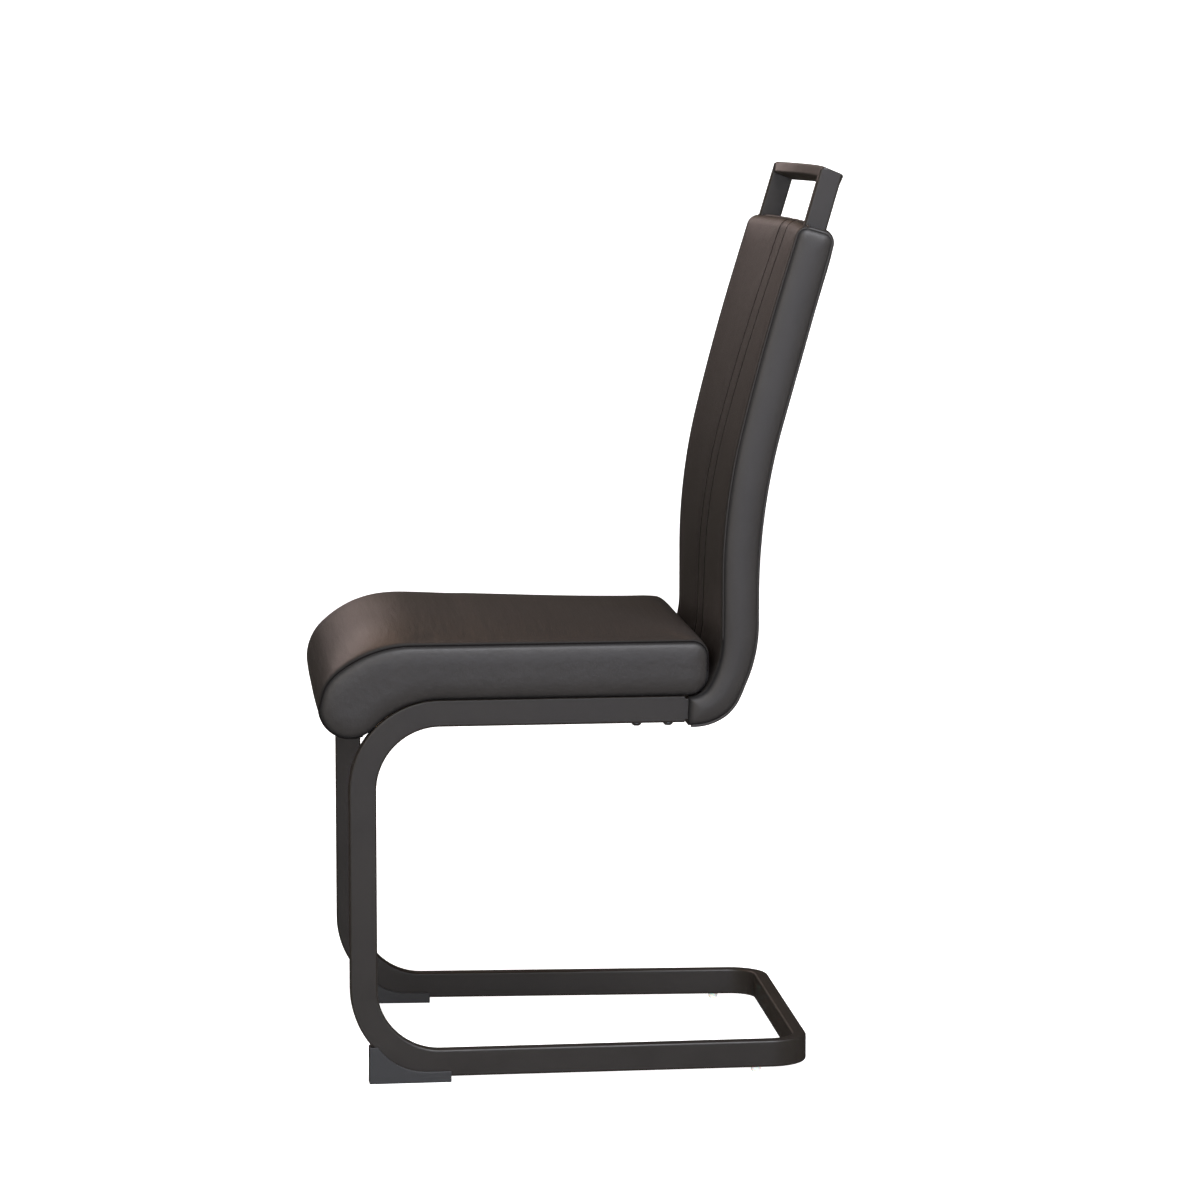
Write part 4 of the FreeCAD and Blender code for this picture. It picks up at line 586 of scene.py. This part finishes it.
def seat_runs():
    """Side view of the seat cushion, clockwise: top, rear, underside and nose."""
    top = RAIL_TOP + bpy.context.scene.chair_sizes.seat_thickness
    bend = (BEND_RADIUS * math.cos(TOE) - RAIL_WIDTH * math.sin(TOE), RAIL_TOP - BEND_RADIUS)
    rear_edge, blend, nose, blend_turn, room = 0.019, 0.132, 0.048, 40, 0.0002
    clear = BEND_RADIUS + room
    turn = math.radians(blend_turn)
    nose_height = top - blend * (1 - math.cos(turn)) - nose * math.cos(turn)
    blend_start = -SEAT_REACH + blend * math.sin(turn) + nose * (1 - math.sin(turn))
    ahead, above = -SEAT_REACH - bend[0], nose_height - bend[1]
    under = (ahead ** 2 + above ** 2 - clear ** 2) / (2 * (clear - ahead))
    hem = math.degrees(math.atan2(-ahead - under, above))
    steps = [
        (SEAT_NEST_RADIUS, 90), top - rear_edge - SEAT_NEST[1], (rear_edge, 90),
        SEAT_REAR - rear_edge - blend_start, (blend, blend_turn), (nose, 90 - blend_turn),
        (under, 90 + hem), (clear, -hem),
    ]
    foot = (SEAT_NEST[0], SEAT_NEST[1] - SEAT_NEST_RADIUS)
    loop = side_run(foot, 0, steps)
    loop = np.concatenate([loop, loop[:1]])[::-1]
    travel = travelled(loop)

    def met(count):
        """Share of the way round at which the run reaches the end of some of its steps."""
        place = side_run(foot, 0, steps[:count])[-1]
        return travel[np.linalg.norm(loop - place, axis=1).argmin()] / travel[-1]

    corners = [
        (met(7) + met(6)) / 2,
        0.35 * met(6) + 0.65 * met(5),
        (met(3) + met(2)) / 2,
        (met(1) + 1) / 2,
    ]
    underside, nose_run, top_run, rear_run, last = cut_at(loop, corners)
    return [top_run, rear_run, np.concatenate([last[:-1], underside]), nose_run]


def seat_clear_of_frame(depth, height):
    """One where the cover hangs free, nothing where it rests on the rails and the bends."""
    above_rail, ahead_of_bend = 0.010, 0.030
    ahead = np.clip((ahead_of_bend - depth) / ahead_of_bend, 0, 1)
    return np.clip((height - RAIL_TOP) / above_rail + ahead, 0, 1)


def seat_skin(loop, normals, spread, travel):
    """The side view moved up by c * (1 - v ^ 4), out at the nose, and drawn in beside the side seams."""
    sizes = bpy.context.scene.chair_sizes
    depth, height = loop[..., 0], loop[..., 1]
    fade = np.clip((depth - CROWN_FROM) / (SEAT_REAR - CROWN_FROM), 0, 1)
    crown = sizes.crown_front + (sizes.crown_rear - sizes.crown_front) * fade
    rise = np.clip((height - BOARD_TOP) / (RAIL_TOP + sizes.seat_thickness - BOARD_TOP), 0, 1)
    full = 1 - np.abs(spread) ** 4
    from_seam = (1 - np.abs(spread)) * half_width(depth)
    dip = drawn_in(from_seam, sizes.seam_depth, SKIN_DIP_WIDTH) * seat_clear_of_frame(depth, height)
    nose_end, nose_fade, nose_foot, foot_fade, brow_end, brow_fade = 0.060, 0.080, 0.385, 0.040, 0.130, 0.110
    nose = np.clip((nose_end - depth) / nose_fade, 0, 1) * np.clip((height - nose_foot) / foot_fade, 0, 1)
    brow = np.clip((brow_end - depth) / brow_fade, 0, 1) * np.clip(normals[..., 1], 0, 1)
    out = (NOSE_SWELL * nose + BROW_SWELL * brow) * full - dip
    x = spread * half_width(depth)
    y = LEG_FRONT + depth + normals[..., 0] * out
    z = height + crown * rise * full + normals[..., 1] * out
    return np.stack(np.broadcast_arrays(x, y, z), -1)


def seat_seam_shade(travel, spread):
    """How near the seat's skin is to its side seams: the mask of its painted seam shade."""
    return beside((1 - np.abs(spread)) * HALF_FRONT, SEAT_PAINTED_SHADE_WIDTH)


def padded_panel(points, distance, inward, half, bulge, free):
    """A side panel on the left: half width + swelling, its rim drawn inwards where it hangs free."""
    seam = drawn_in(distance, bpy.context.scene.chair_sizes.seam_depth, PANEL_DIP_WIDTH) * free
    x = half + swelling(distance, bulge, PANEL_REACH)
    y = LEG_FRONT + points[..., 0] + inward[..., 0] * seam
    return np.stack([x, y, points[..., 1] + inward[..., 1] * seam], -1)


def seat_flank(points, distance, inward):
    """The seat's side panel, between the frames' outer faces."""
    depth, height = points[..., 0], points[..., 1]
    return padded_panel(points, distance, inward, half_width(depth),
                        bpy.context.scene.chair_sizes.side_bulge, seat_clear_of_frame(depth, height))


def lining_sheet(front, rear, margin, high):
    """The lining: a flat cloth between the rails that dimples up at its staples.

    Across: u * (half width of the frames - margin). Height: h - r - d * (1 - s), where
    s = cos(pi * n * v) ^ 2 * |u| ^ 12 for n staples a side. Both faces of the cloth, and its rim.
    """
    thickness, dimple, room, staples = 0.0003, 0.0004, 0.0001, 9
    u, v = np.linspace(-1, 1, 81)[None, :], np.linspace(0, 1, 121)[:, None]
    depth = front + v * (rear - front)
    x = u * (half_width(depth) - margin)
    held = np.cos(math.pi * staples * v) ** 2 * np.abs(u) ** 12
    top = high - room - dimple * (1 - held)
    sheets = [
        np.stack(np.broadcast_arrays(x, LEG_FRONT + depth, top - down), -1) for down in (0, thickness)]
    rows, columns = top.shape
    count = rows * columns
    order = np.arange(count).reshape(rows, columns)
    rim = np.concatenate([order[0, :-1], order[:-1, -1], order[-1, :0:-1], order[:0:-1, 0]])
    beyond = np.roll(rim, -1)
    edge = np.stack([rim, rim + count, beyond + count, beyond], 1)
    skin = grid_faces(rows, columns)
    faces = [skin, skin[:, ::-1] + count, edge]
    halves = half_width(np.array([front, rear])) - margin
    return np.stack(sheets), faces, halves.tolist()


# Back cushion

RAIL_LENGTH = 0.3694
BACK_HALF = half_width(RAIL_LENGTH)
PAD_START = 0.3735
PAD_TOP = (0.51400, 0.93534)
LEAN_AHEAD = np.array([math.sin(LEAN), math.cos(LEAN)])
FRONT_STEPS = [0.001, (0.024, 60), (0.105, 30), 0.0595, (0.711, -13.4), (2.780, -3.6)]
REAR_STEPS = [0.0065, (0.058, 60), (0.165, 30), 0.030, (0.700, -15.5)]
RIM_DEPTH, RIM_WIDTH, RIM_FADE = 0.0036, 0.0032, 0.0015
FRONT_SEAM_WIDTH = 0.0014
PANEL_SWELL, PANEL_SWELL_REACH = 0.0012, 0.020

# How wide the skin's painted seam shade reaches in the front seams, beside the rim seam and beside the
# edges, and how far from the rim seam its own lines of painted shade lie.
FRONT_PAINTED_SHADE_WIDTH, RIM_PAINTED_SHADE_WIDTH, EDGE_PAINTED_SHADE_WIDTH, RIM_PAINTED_SHADE_AWAY = 0.0011, 0.0013, 0.0018, 0.0016


def meet_top(point, heading):
    """Where a straight line p + t * (cos a, sin a) meets the pad's top plane."""
    ahead = np.array([math.cos(math.radians(heading)), math.sin(math.radians(heading))])
    away = (np.array(PAD_TOP) - point) @ LEAN_AHEAD
    return point + away / (ahead @ LEAN_AHEAD) * ahead


def rounded(before, corner, after, radius):
    """The arc that rounds a corner: c + r * (cos a, sin a) between the two places where it touches."""
    into = (before - corner) / np.linalg.norm(before - corner)
    out = (after - corner) / np.linalg.norm(after - corner)
    half = math.acos(float(into @ out)) / 2
    middle = (into + out) / np.linalg.norm(into + out)
    centre = corner + middle * radius / math.sin(half)
    start = corner + into * radius / math.tan(half) - centre
    end = corner + out * radius / math.tan(half) - centre
    low, high = math.atan2(start[1], start[0]), math.atan2(end[1], end[0])
    high = low + (high - low + math.pi) % (2 * math.pi) - math.pi
    turns = np.linspace(low, high, 33)
    return centre + radius * np.stack([np.cos(turns), np.sin(turns)], 1)


def back_runs():
    """Side view of the back cushion, clockwise: front, top, rear and foot. The front ends at the rim seam."""
    front_below, rear_below, front_radius, rear_radius = 0.001, 0.033, 0.013, 0.014
    front = side_run((PAD_START, RAIL_TOP - front_below), 0, FRONT_STEPS)
    rear = side_run((PAD_START, RAIL_TOP - rear_below), 0, REAR_STEPS)
    front_corner = meet_top(front[-1], 90 + FRONT_STEPS[-2][1] + FRONT_STEPS[-1][1])
    rear_corner = meet_top(rear[-1], 90 + REAR_STEPS[-1][1])
    front_arc = rounded(front[-1], front_corner, rear_corner, front_radius)
    rear_arc = rounded(front_corner, rear_corner, rear[-1], rear_radius)
    middle = len(rear_arc) // 2
    front_run = np.concatenate([front, front_arc])
    top_run = np.concatenate([front_arc[-1:], rear_arc[:middle + 1]])
    rear_run = np.concatenate([rear_arc[middle:], rear[::-1]])
    foot_run = np.stack([rear[0], front[0]])
    return [front_run, top_run, rear_run, foot_run]


def back_sweep(height):
    """How far the pad's middle lies behind its sides: nothing at the rails, all of the sweep at the top."""
    sweep = bpy.context.scene.chair_sizes.back_sweep
    return sweep * np.clip(height - RAIL_TOP, 0, None) / (PAD_TOP[1] - RAIL_TOP)


def back_clear_of_rail(height):
    """One where the pad hangs free, nothing at its foot behind the rails."""
    below, fade = 0.020, 0.030
    return np.clip((height - RAIL_TOP + below) / fade, 0, 1)


def line_down(cushion, rows, place, lift):
    """A line down the skin at one place across, lifted along the side view's normal."""
    path = cushion.skin_at(rows, np.array([place]))[:, 0]
    ahead = np.gradient(path, axis=0)
    out = np.stack([0 * ahead[:, 0], -ahead[:, 2], ahead[:, 1]], 1)
    return path + lift * out / np.linalg.norm(out, axis=1)[:, None]


class BackSkin:
    """The back's skin, which knows how far round the rim seam and the front seams lie."""

    def __init__(self, runs, counts):
        first = np.cumsum([0, *counts])
        travel = travelled(np.concatenate(sampled(runs, counts)))
        self.rim = travel[first[1]]

    def sewn(self, travel, spread):
        """How near the back's skin is to its side seams, the rim seam and the two front seams: the mask of
        its painted seam shade.
        """
        half_spacing = bpy.context.scene.chair_sizes.seam_spacing / 2
        x = np.abs(spread) * BACK_HALF
        front = travel < self.rim
        # Painted seam shade: lines in the two front seams, beside the rim seam and along the side edges.
        lines = beside(x - half_spacing, FRONT_PAINTED_SHADE_WIDTH) * front
        rim = beside(np.abs(travel - self.rim) - RIM_PAINTED_SHADE_AWAY, RIM_PAINTED_SHADE_WIDTH)
        return np.maximum(np.maximum(lines, rim), beside(BACK_HALF - x, EDGE_PAINTED_SHADE_WIDTH))

    def __call__(self, loop, normals, spread, travel):
        """Side view plus sweep * (1 - v ^ 2), with the two front seams, the rim and the edges drawn in."""
        sizes = bpy.context.scene.chair_sizes
        depth, height = loop[..., 0], loop[..., 1]
        front = 1 / (1 + np.exp((travel - self.rim) / RIM_FADE))
        x = spread * BACK_HALF
        from_edge = BACK_HALF - np.abs(x)
        from_seam = np.abs(np.abs(x) - sizes.seam_spacing / 2)
        full = 1 - np.abs(spread) ** 6
        between = np.clip(from_seam / PANEL_SWELL_REACH, 0, 1)
        swell = PANEL_SWELL * front * np.sin(between * math.pi / 2) * full
        stitched = sizes.front_seam_depth * beside(from_seam, FRONT_SEAM_WIDTH) * front
        rim = RIM_DEPTH * beside(travel - self.rim, RIM_WIDTH)
        edge = drawn_in(from_edge, sizes.seam_depth, SKIN_DIP_WIDTH) * back_clear_of_rail(height)
        out = swell - stitched - np.maximum(rim, edge)
        y = LEG_FRONT + depth + back_sweep(height) * (1 - spread ** 2) + normals[..., 0] * out
        z = height + normals[..., 1] * out
        return np.stack(np.broadcast_arrays(x, y, z), -1)


def back_flank(points, distance, inward):
    """The back's side panel, in line with the rails' rear ends."""
    half = np.full_like(distance, BACK_HALF)
    return padded_panel(points, distance, inward, half,
                        bpy.context.scene.chair_sizes.back_bulge, back_clear_of_rail(points[..., 1]))


def back_places():
    """Places across the back, close together at the edges and beside the two front seams."""
    seam = bpy.context.scene.chair_sizes.seam_spacing / 2
    wide = eased_spread(73, 0.3) * BACK_HALF
    near = np.array([-4.0, -2.6, -1.8, -1.2, -0.8, -0.4, 0, 0.4, 0.8, 1.2, 1.8, 2.6, 4.0]) / 1000
    clear = 0.0045
    kept = wide[np.abs(np.abs(wide) - seam) > clear]
    return np.sort(np.concatenate([kept, near - seam, near + seam])) / BACK_HALF


# Handle

def rounded_section(width, height, radius):
    """A rounded oblong, clockwise from its top left: corner centre + r * (cos a, sin a) at each corner.

    A point on the flat beside each end of a corner keeps the flats shaded flat.
    """
    beside_corner = 0.0007
    corners = [(radius, -radius, 0), (width - radius, -radius, 1), (width - radius, radius - height, 2),
               (radius, radius - height, 3)]
    section = []
    for x, z, quarter in corners:
        turn = np.linspace(math.pi, math.pi / 2, 7) - quarter * math.pi / 2
        arc = np.stack([x + radius * np.cos(turn), z + radius * np.sin(turn)], 1)
        ahead = np.stack([np.sin(turn), -np.cos(turn)], 1) * beside_corner
        section += [arc[:1] - ahead[:1], arc, arc[-1:] + ahead[-1:]]
    return np.concatenate(section)


def handle_piece(bow, thickness, material):
    """The bar's section carried across the chair on a level arc, its ends mitred at 45 degrees.

    Across: u * (half width - depth below the top). Back: the section's place across the tilt, plus
    bow * (1 - u ^ 2). Down: the section's place down the tilt.
    """
    low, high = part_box("handle_bar")
    solid_thickness, width, edge, rise, tilt = 0.0124, 0.0250, 0.0025, 0.0019, math.radians(22.3)
    half, front, top = high.x, low.y + solid_thickness * math.sin(LEAN), high.z + rise
    section = rounded_section(width, thickness, edge)
    u = np.linspace(-1, 1, 97)[:, None]
    across, down = section[None, :, 0], -section[None, :, 1]
    x = u * (half - down)
    y = front + across * math.cos(tilt) - down * math.sin(LEAN) + bow * (1 - u ** 2)
    z = top - across * math.sin(tilt) - down * math.cos(LEAN) + 0 * u
    vertices = np.stack(np.broadcast_arrays(x, y, z), -1)
    rows, columns = vertices.shape[:2]
    skin = grid_faces(columns, rows, True)
    order = np.arange(rows * columns).reshape(rows, columns).T.ravel()
    ends = [np.arange(columns), np.arange(columns) + (rows - 1) * columns]
    return new_piece("handle_bar_bowed", vertices, [order[skin]] + [end[None] for end in ends],
                     material)


# Sizes and colours

def length(name, default, description):
    """A length that a user may change."""
    return FloatProperty(name=name, description=description, default=default, unit="LENGTH")


def colour(name, hex_code, description):
    """A colour that a user may change."""
    return FloatVectorProperty(name=name, description=description, default=linear(hex_code), subtype="COLOR",
                               size=4, min=0, max=1)


class ChairSizes(bpy.types.PropertyGroup):
    """Sizes of the covers that a user may change."""

    seat_thickness: length("Seat thickness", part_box("seat_side_cover_left")[1].z - RAIL_TOP,
                           "Side height of the seat cushion above the rails")
    crown_front: length("Crown at the front", 0.0145, "How far the seat's middle swells up at the front")
    crown_rear: length("Crown at the rear", 0.004, "How far the seat's middle swells up at the rear")
    side_bulge: length("Seat side bulge", 0.008, "How far the seat's side panels swell outwards")
    back_bulge: length("Back side bulge", 0.007, "How far the back's side panels swell outwards")
    back_sweep: length("Back sweep", 0.016, "How far the back's top curves back in the middle")
    handle_bow: length("Handle bow", 0.016, "How far the handle bar bows back in the middle")
    handle_thickness: length("Handle thickness", 0.0136, "Height of the handle bar's tube")
    seam_spacing: length("Front seam spacing", 0.054, "Between the two seams down the back's front")
    seam_depth: length("Edge seam depth", 0.0028, "How far the covers are drawn in at the piped seams")
    front_seam_depth: length("Front seam depth", 0.0050, "How far the two front seams are drawn in")
    piping_radius: length("Piping radius", 0.0009, "Radius of the round piping along the seams")


class ChairColours(bpy.types.PropertyGroup):
    """Colours that a user may change."""

    leather: colour("Imitation leather", "#1f1c1a", "Colour of the covers")
    steel: colour("Powder coat", "#1c1814", "Colour of the steel frame")
    floor: colour("Floor", "#f4f4f4", "Colour of the studio floor")


def dress(names, material):
    """Gives CAD nodes a finish of their own."""
    for name in names:
        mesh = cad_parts[name].data
        mesh.materials.clear()
        mesh.materials.append(material)


class ChairOperator(bpy.types.Operator):
    """Common settings of the chair's operators."""

    bl_options = {"REGISTER", "UNDO"}


class CHAIR_OT_steel_frame(ChairOperator):
    """Powder-coats the side tubes, the floor tube, the seat's cross tubes and the uprights"""

    bl_idname = "chair.steel_frame"
    bl_label = "Steel frame"

    def execute(self, context):
        dress(STEEL_NODES, powder_coat_material(context.scene.chair_colours.steel))
        return {"FINISHED"}


class CHAIR_OT_handle(ChairOperator):
    """Makes the bowed handle bar between the mitred tops of the uprights"""

    bl_idname = "chair.handle"
    bl_label = "Handle bar"

    def execute(self, context):
        sizes = context.scene.chair_sizes
        material = powder_coat_material(context.scene.chair_colours.steel)
        piece = handle_piece(sizes.handle_bow, sizes.handle_thickness, material)
        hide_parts("handle_bar")
        return {"FINISHED"}


class CHAIR_OT_fittings(ChairOperator):
    """Finishes the screws, the boards, the back's cross tubes and the feet"""

    bl_idname = "chair.fittings"
    bl_label = "Fittings and feet"

    def execute(self, context):
        dress(("seat_bolts", "seat_washers", "seat_tee_nuts", "upright_screws", "back_board_screws",
               "front_foot_screws"), zinc_material())
        dress(("seat_board", "back_board"), plywood_material())
        dress(("back_cross_tube_lower", "back_cross_tube_upper"), drawn_steel_material())
        dress(("front_foot_left", "front_foot_right"), shoe_material())
        dress(("rear_glide_left", "rear_glide_right"), glide_material())
        return {"FINISHED"}


class CHAIR_OT_seat_lining(ChairOperator):
    """Makes the lining cloth stapled under the seat board"""

    bl_idname = "chair.seat_lining"
    bl_label = "Seat lining"

    def execute(self, context):
        low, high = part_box("seat_bottom_cloth")
        front, rear = low.y - LEG_FRONT, high.y - LEG_FRONT
        vertices, faces, halves = lining_sheet(front, rear, half_width(front) - high.x, high.z)
        piece = new_piece("seat_lining", vertices, faces, lining_material())
        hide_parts("seat_bottom_cloth")
        return {"FINISHED"}


class CHAIR_OT_seat_cushion(ChairOperator):
    """Makes the padded seat in its cover and the piping along its side seams"""

    bl_idname = "chair.seat_cushion"
    bl_label = "Seat cushion"

    def execute(self, context):
        sizes = context.scene.chair_sizes
        material = leather_material(
            "pvc_imitation_leather_embossed_seat", context.scene.chair_colours.leather, (7.0, 95.0, 95.0))
        cushion = Cushion(
            seat_runs(), (150, 24, 150, 24), eased_spread(97, 0.25), seat_skin, seat_flank, seat_seam_shade)
        cushion.press_out((56, 8, 56, 10), eased_spread(45, 0.6), sewn_rows=(2,), sewn_places=(),
                          pressure=3.0, most=0.003)
        piece = cushion.build("seat_cushion", material)
        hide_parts("seat_foam", "seat_top_cover", "seat_side_cover_left", "seat_side_cover_right")
        # The seat's piping is made in the near-black matt cord material, darker than the cover, as painted
        # seam shade.
        shade_cord, proud, under_rear, under_nose = seam_shade_cord_material(), 0.0002, 1.6, 2.93
        middle = np.array([0.0, LEG_FRONT + 0.18, RAIL_TOP + 0.02])
        for side, hand in ((1, "left"), (-1, "right")):
            rear = cushion.seam_line(0, under_rear, side, proud)
            nose = cushion.seam_line(under_nose, 4, side, proud)
            line = np.concatenate([nose[:-1], rear])
            piping = piped("seat_piping_" + hand, line, sizes.piping_radius, middle, shade_cord)
            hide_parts("seat_welt_" + hand)
        return {"FINISHED"}


class CHAIR_OT_back_cushion(ChairOperator):
    """Makes the padded back with its two front seams, and the piping along its edges"""

    bl_idname = "chair.back_cushion"
    bl_label = "Back cushion"

    def execute(self, context):
        sizes = context.scene.chair_sizes
        material = leather_material(
            "pvc_imitation_leather_embossed_back", context.scene.chair_colours.leather, (28.0, 28.0, 9.0))
        runs, counts = back_runs(), (190, 16, 190, 16)
        skin = BackSkin(runs, counts)
        cushion = Cushion(runs, counts, back_places(), skin, back_flank, skin.sewn)
        seam = sizes.seam_spacing / 2 / BACK_HALF
        cushion.press_out((60, 6, 60, 6), eased_spread(47, 0.7), sewn_rows=(1, 3),
                          sewn_places=(-seam, seam), pressure=2.0, most=0.002)
        piece = cushion.build("back_cushion", material)
        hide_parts("back_front_cover_left", "back_front_cover_middle", "back_front_cover_right",
                    "back_rear_cover", "back_side_cover_left", "back_side_cover_right",
                    "back_front_foam", "back_rear_foam", "back_foot_foam")
        shade_cord, shade_cord_radius, sunk = seam_shade_cord_material(), 0.0013, 0.0008
        front_proud, rim_proud, rim_sunk, rim_times = 0.0004, 0.0006, 0.0004, 1.9
        above_foot, rear_foot = 0.14, 2.995
        middle = np.array([0.0, LEG_FRONT + 0.45, 0.68])
        for side, hand in ((1, "left"), (-1, "right")):
            line = cushion.seam_line(above_foot, 1, side, front_proud)
            piping = piped("back_piping_" + hand, line, sizes.piping_radius, middle, material)
            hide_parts("back_welt_" + hand)
        # Near-black matt cords in the two front seam grooves: seam thread, thick and dark as painted seam
        # shade.
        rows = np.arange(2, cushion.counts[0] - 1)
        for side, hand in ((1, "left"), (-1, "right")):
            line = line_down(cushion, rows, side * seam, sizes.front_seam_depth - sunk)
            piped("front_seam_shade_cord_" + hand, line, shade_cord_radius, middle, shade_cord)
        rim, other = [cushion.seam_line(1, rear_foot, side, rim_proud) for side in (1, -1)]
        rim_row = np.array([cushion.counts[0]])
        across = cushion.skin_at(rim_row, np.linspace(1, -1, 121))[0][1:-1]
        across = across + np.array([0, -math.sin(LEAN), math.cos(LEAN)]) * (RIM_DEPTH - rim_sunk)
        line = np.concatenate([rim[::-1], across, other])
        piped("back_piping_rim", line, sizes.piping_radius * rim_times, middle, material)
        return {"FINISHED"}


# Studio

def soft_box(name, place, width, height, power, colour):
    """A rectangular soft light aimed at the middle of the chair, itself out of the camera's sight."""
    lamp = bpy.data.lights.new(name, "AREA")
    lamp.shape = "RECTANGLE"
    lamp.size, lamp.size_y = width, height
    lamp.energy = power
    lamp.color = linear(colour)[:3]
    holder = bpy.data.objects.new(name, lamp)
    holder.location = place
    holder.rotation_euler = (Vector((0, 0, 0.5)) - holder.location).to_track_quat("-Z", "Y").to_euler()
    holder.visible_camera = False
    bpy.context.scene.collection.objects.link(holder)


def studio_floor(colour):
    """A pale floor that sweeps up into a wall all round: flat, a quarter turn, then plumb.

    It glows a little by itself, so it stays even out to its wall without lamps of its own, and the
    chair's gloss doesn't mirror it.
    """
    material, tree, surface, place = new_material("studio_floor_matt_paper", 0.9)
    mottle = noise(tree, place, 3.0)
    finish(tree, surface, Base_Color=tinted(tree, mottle, lightened(colour, 0.97), tuple(colour)))
    surface.inputs["Emission Color"].default_value = tuple(colour)
    surface.inputs["Emission Strength"].default_value = 1.0
    flat, sweep, wall, below = 8.0, 2.0, 5.0, 0.0003
    turn = np.linspace(0, math.pi / 2, 17)
    radius = np.concatenate([[0.02, flat / 2], flat + sweep * np.sin(turn), [flat + sweep]])
    height = np.concatenate([[0, 0], sweep * (1 - np.cos(turn)), [wall]]) - below
    round_about = np.linspace(0, 2 * math.pi, 96, endpoint=False)[:, None]
    x, y, z = np.broadcast_arrays(radius * np.cos(round_about), radius * np.sin(round_about), height)
    vertices = np.stack([x, y, z], -1).reshape(-1, 3)
    faces = grid_faces(len(round_about), len(radius), True).tolist()
    faces.append((np.arange(len(round_about)) * len(radius)).tolist())
    mesh = bpy.data.meshes.new("floor")
    mesh.from_pydata(vertices.tolist(), [], faces)
    mesh.polygons.foreach_set("use_smooth", [True] * len(mesh.polygons))
    mesh.materials.append(material)
    floor = bpy.data.objects.new("floor", mesh)
    floor.visible_glossy = False
    bpy.context.scene.collection.objects.link(floor)


def dim_world():
    """A dim warm grey all round, which the gloss shows between the lamps."""
    world = bpy.data.worlds.new("studio")
    world.use_nodes = True
    tree = world.node_tree
    tree.nodes.clear()
    light = add_node(tree, "ShaderNodeBackground", {"Color": linear("#403b37"), "Strength": 1.0})
    output = add_node(tree, "ShaderNodeOutputWorld")
    tree.links.new(light.outputs["Background"], output.inputs["Surface"])
    bpy.context.scene.world = world


def photo_camera():
    """The camera at the photograph's angle: a long lens at the chair's side, a little in front and above."""
    yaw, pitch, focal_pixels, photo_pixels, sensor = 0.0948918, 0.118555, 4340.0, 1200, 36
    place = (4.8956, LEG_FRONT - 0.16985, 1.0925)
    ahead = Vector((-math.cos(yaw) * math.cos(pitch), math.sin(yaw) * math.cos(pitch), -math.sin(pitch)))
    right = ahead.cross(Vector((0, 0, 1))).normalized()
    up = right.cross(ahead)
    lens = bpy.data.cameras.new("camera")
    lens.sensor_width = sensor
    lens.lens = focal_pixels / photo_pixels * sensor
    camera = bpy.data.objects.new("camera", lens)
    bpy.context.scene.collection.objects.link(camera)
    turned = Matrix((right, up, -ahead)).transposed().to_4x4()
    camera.matrix_world = Matrix.Translation(place) @ turned
    bpy.context.scene.camera = camera


class CHAIR_OT_studio(ChairOperator):
    """Sets the pale floor, the soft lights and the camera"""

    bl_idname = "chair.studio"
    bl_label = "Studio"

    def execute(self, context):
        studio_floor(context.scene.chair_colours.floor)
        dim_world()
        soft_box("warm_far", (-3.2, -1.4, 2.3), 1.6, 1.2, 22, "#ffe7e1")
        soft_box("warm_high", (-2.6, -0.9, 3.4), 1.6, 1.2, 12, "#ffc48e")
        soft_box("key_above", (2.2, 0.8, 3.4), 1.6, 1.2, 175, "#f4f7ff")
        soft_box("fill_side", (4.5, 0.6, 1.0), 1.6, 1.6, 38, "#dde6ff")
        soft_box("fill_front", (4.2, -1.6, 2.0), 1.6, 1.6, 56, "#fbf6ee")
        context.scene.view_settings.view_transform = "Standard"
        photo_camera()
        return {"FINISHED"}


class CHAIR_PT_panel(bpy.types.Panel):
    """Lists the chair's operators, sizes and colours"""

    bl_idname = "CHAIR_PT_panel"
    bl_label = "Cantilever chair"
    bl_space_type = "VIEW_3D"
    bl_region_type = "UI"
    bl_category = "Chair"

    def draw(self, context):
        for operator in OPERATORS:
            self.layout.operator(operator.bl_idname)
        for group in (context.scene.chair_sizes, context.scene.chair_colours):
            column = self.layout.column()
            for name in group.__annotations__:
                column.prop(group, name)


GROUPS = (ChairSizes, ChairColours)
OPERATORS = (
    CHAIR_OT_steel_frame, CHAIR_OT_handle, CHAIR_OT_fittings, CHAIR_OT_seat_lining, CHAIR_OT_seat_cushion,
    CHAIR_OT_back_cushion, CHAIR_OT_studio,
)
CLASSES = GROUPS + OPERATORS + (CHAIR_PT_panel,)


def register():
    for item in CLASSES:
        bpy.utils.register_class(item)
    bpy.types.Scene.chair_sizes = PointerProperty(type=ChairSizes)
    bpy.types.Scene.chair_colours = PointerProperty(type=ChairColours)


def unregister():
    del bpy.types.Scene.chair_sizes
    del bpy.types.Scene.chair_colours
    for item in reversed(CLASSES):
        bpy.utils.unregister_class(item)


def main():
    register()
    bpy.ops.chair.steel_frame()
    bpy.ops.chair.handle()
    bpy.ops.chair.fittings()
    bpy.ops.chair.seat_lining()
    bpy.ops.chair.seat_cushion()
    bpy.ops.chair.back_cushion()
    bpy.ops.chair.studio()


if __name__ == "__main__":
    main()
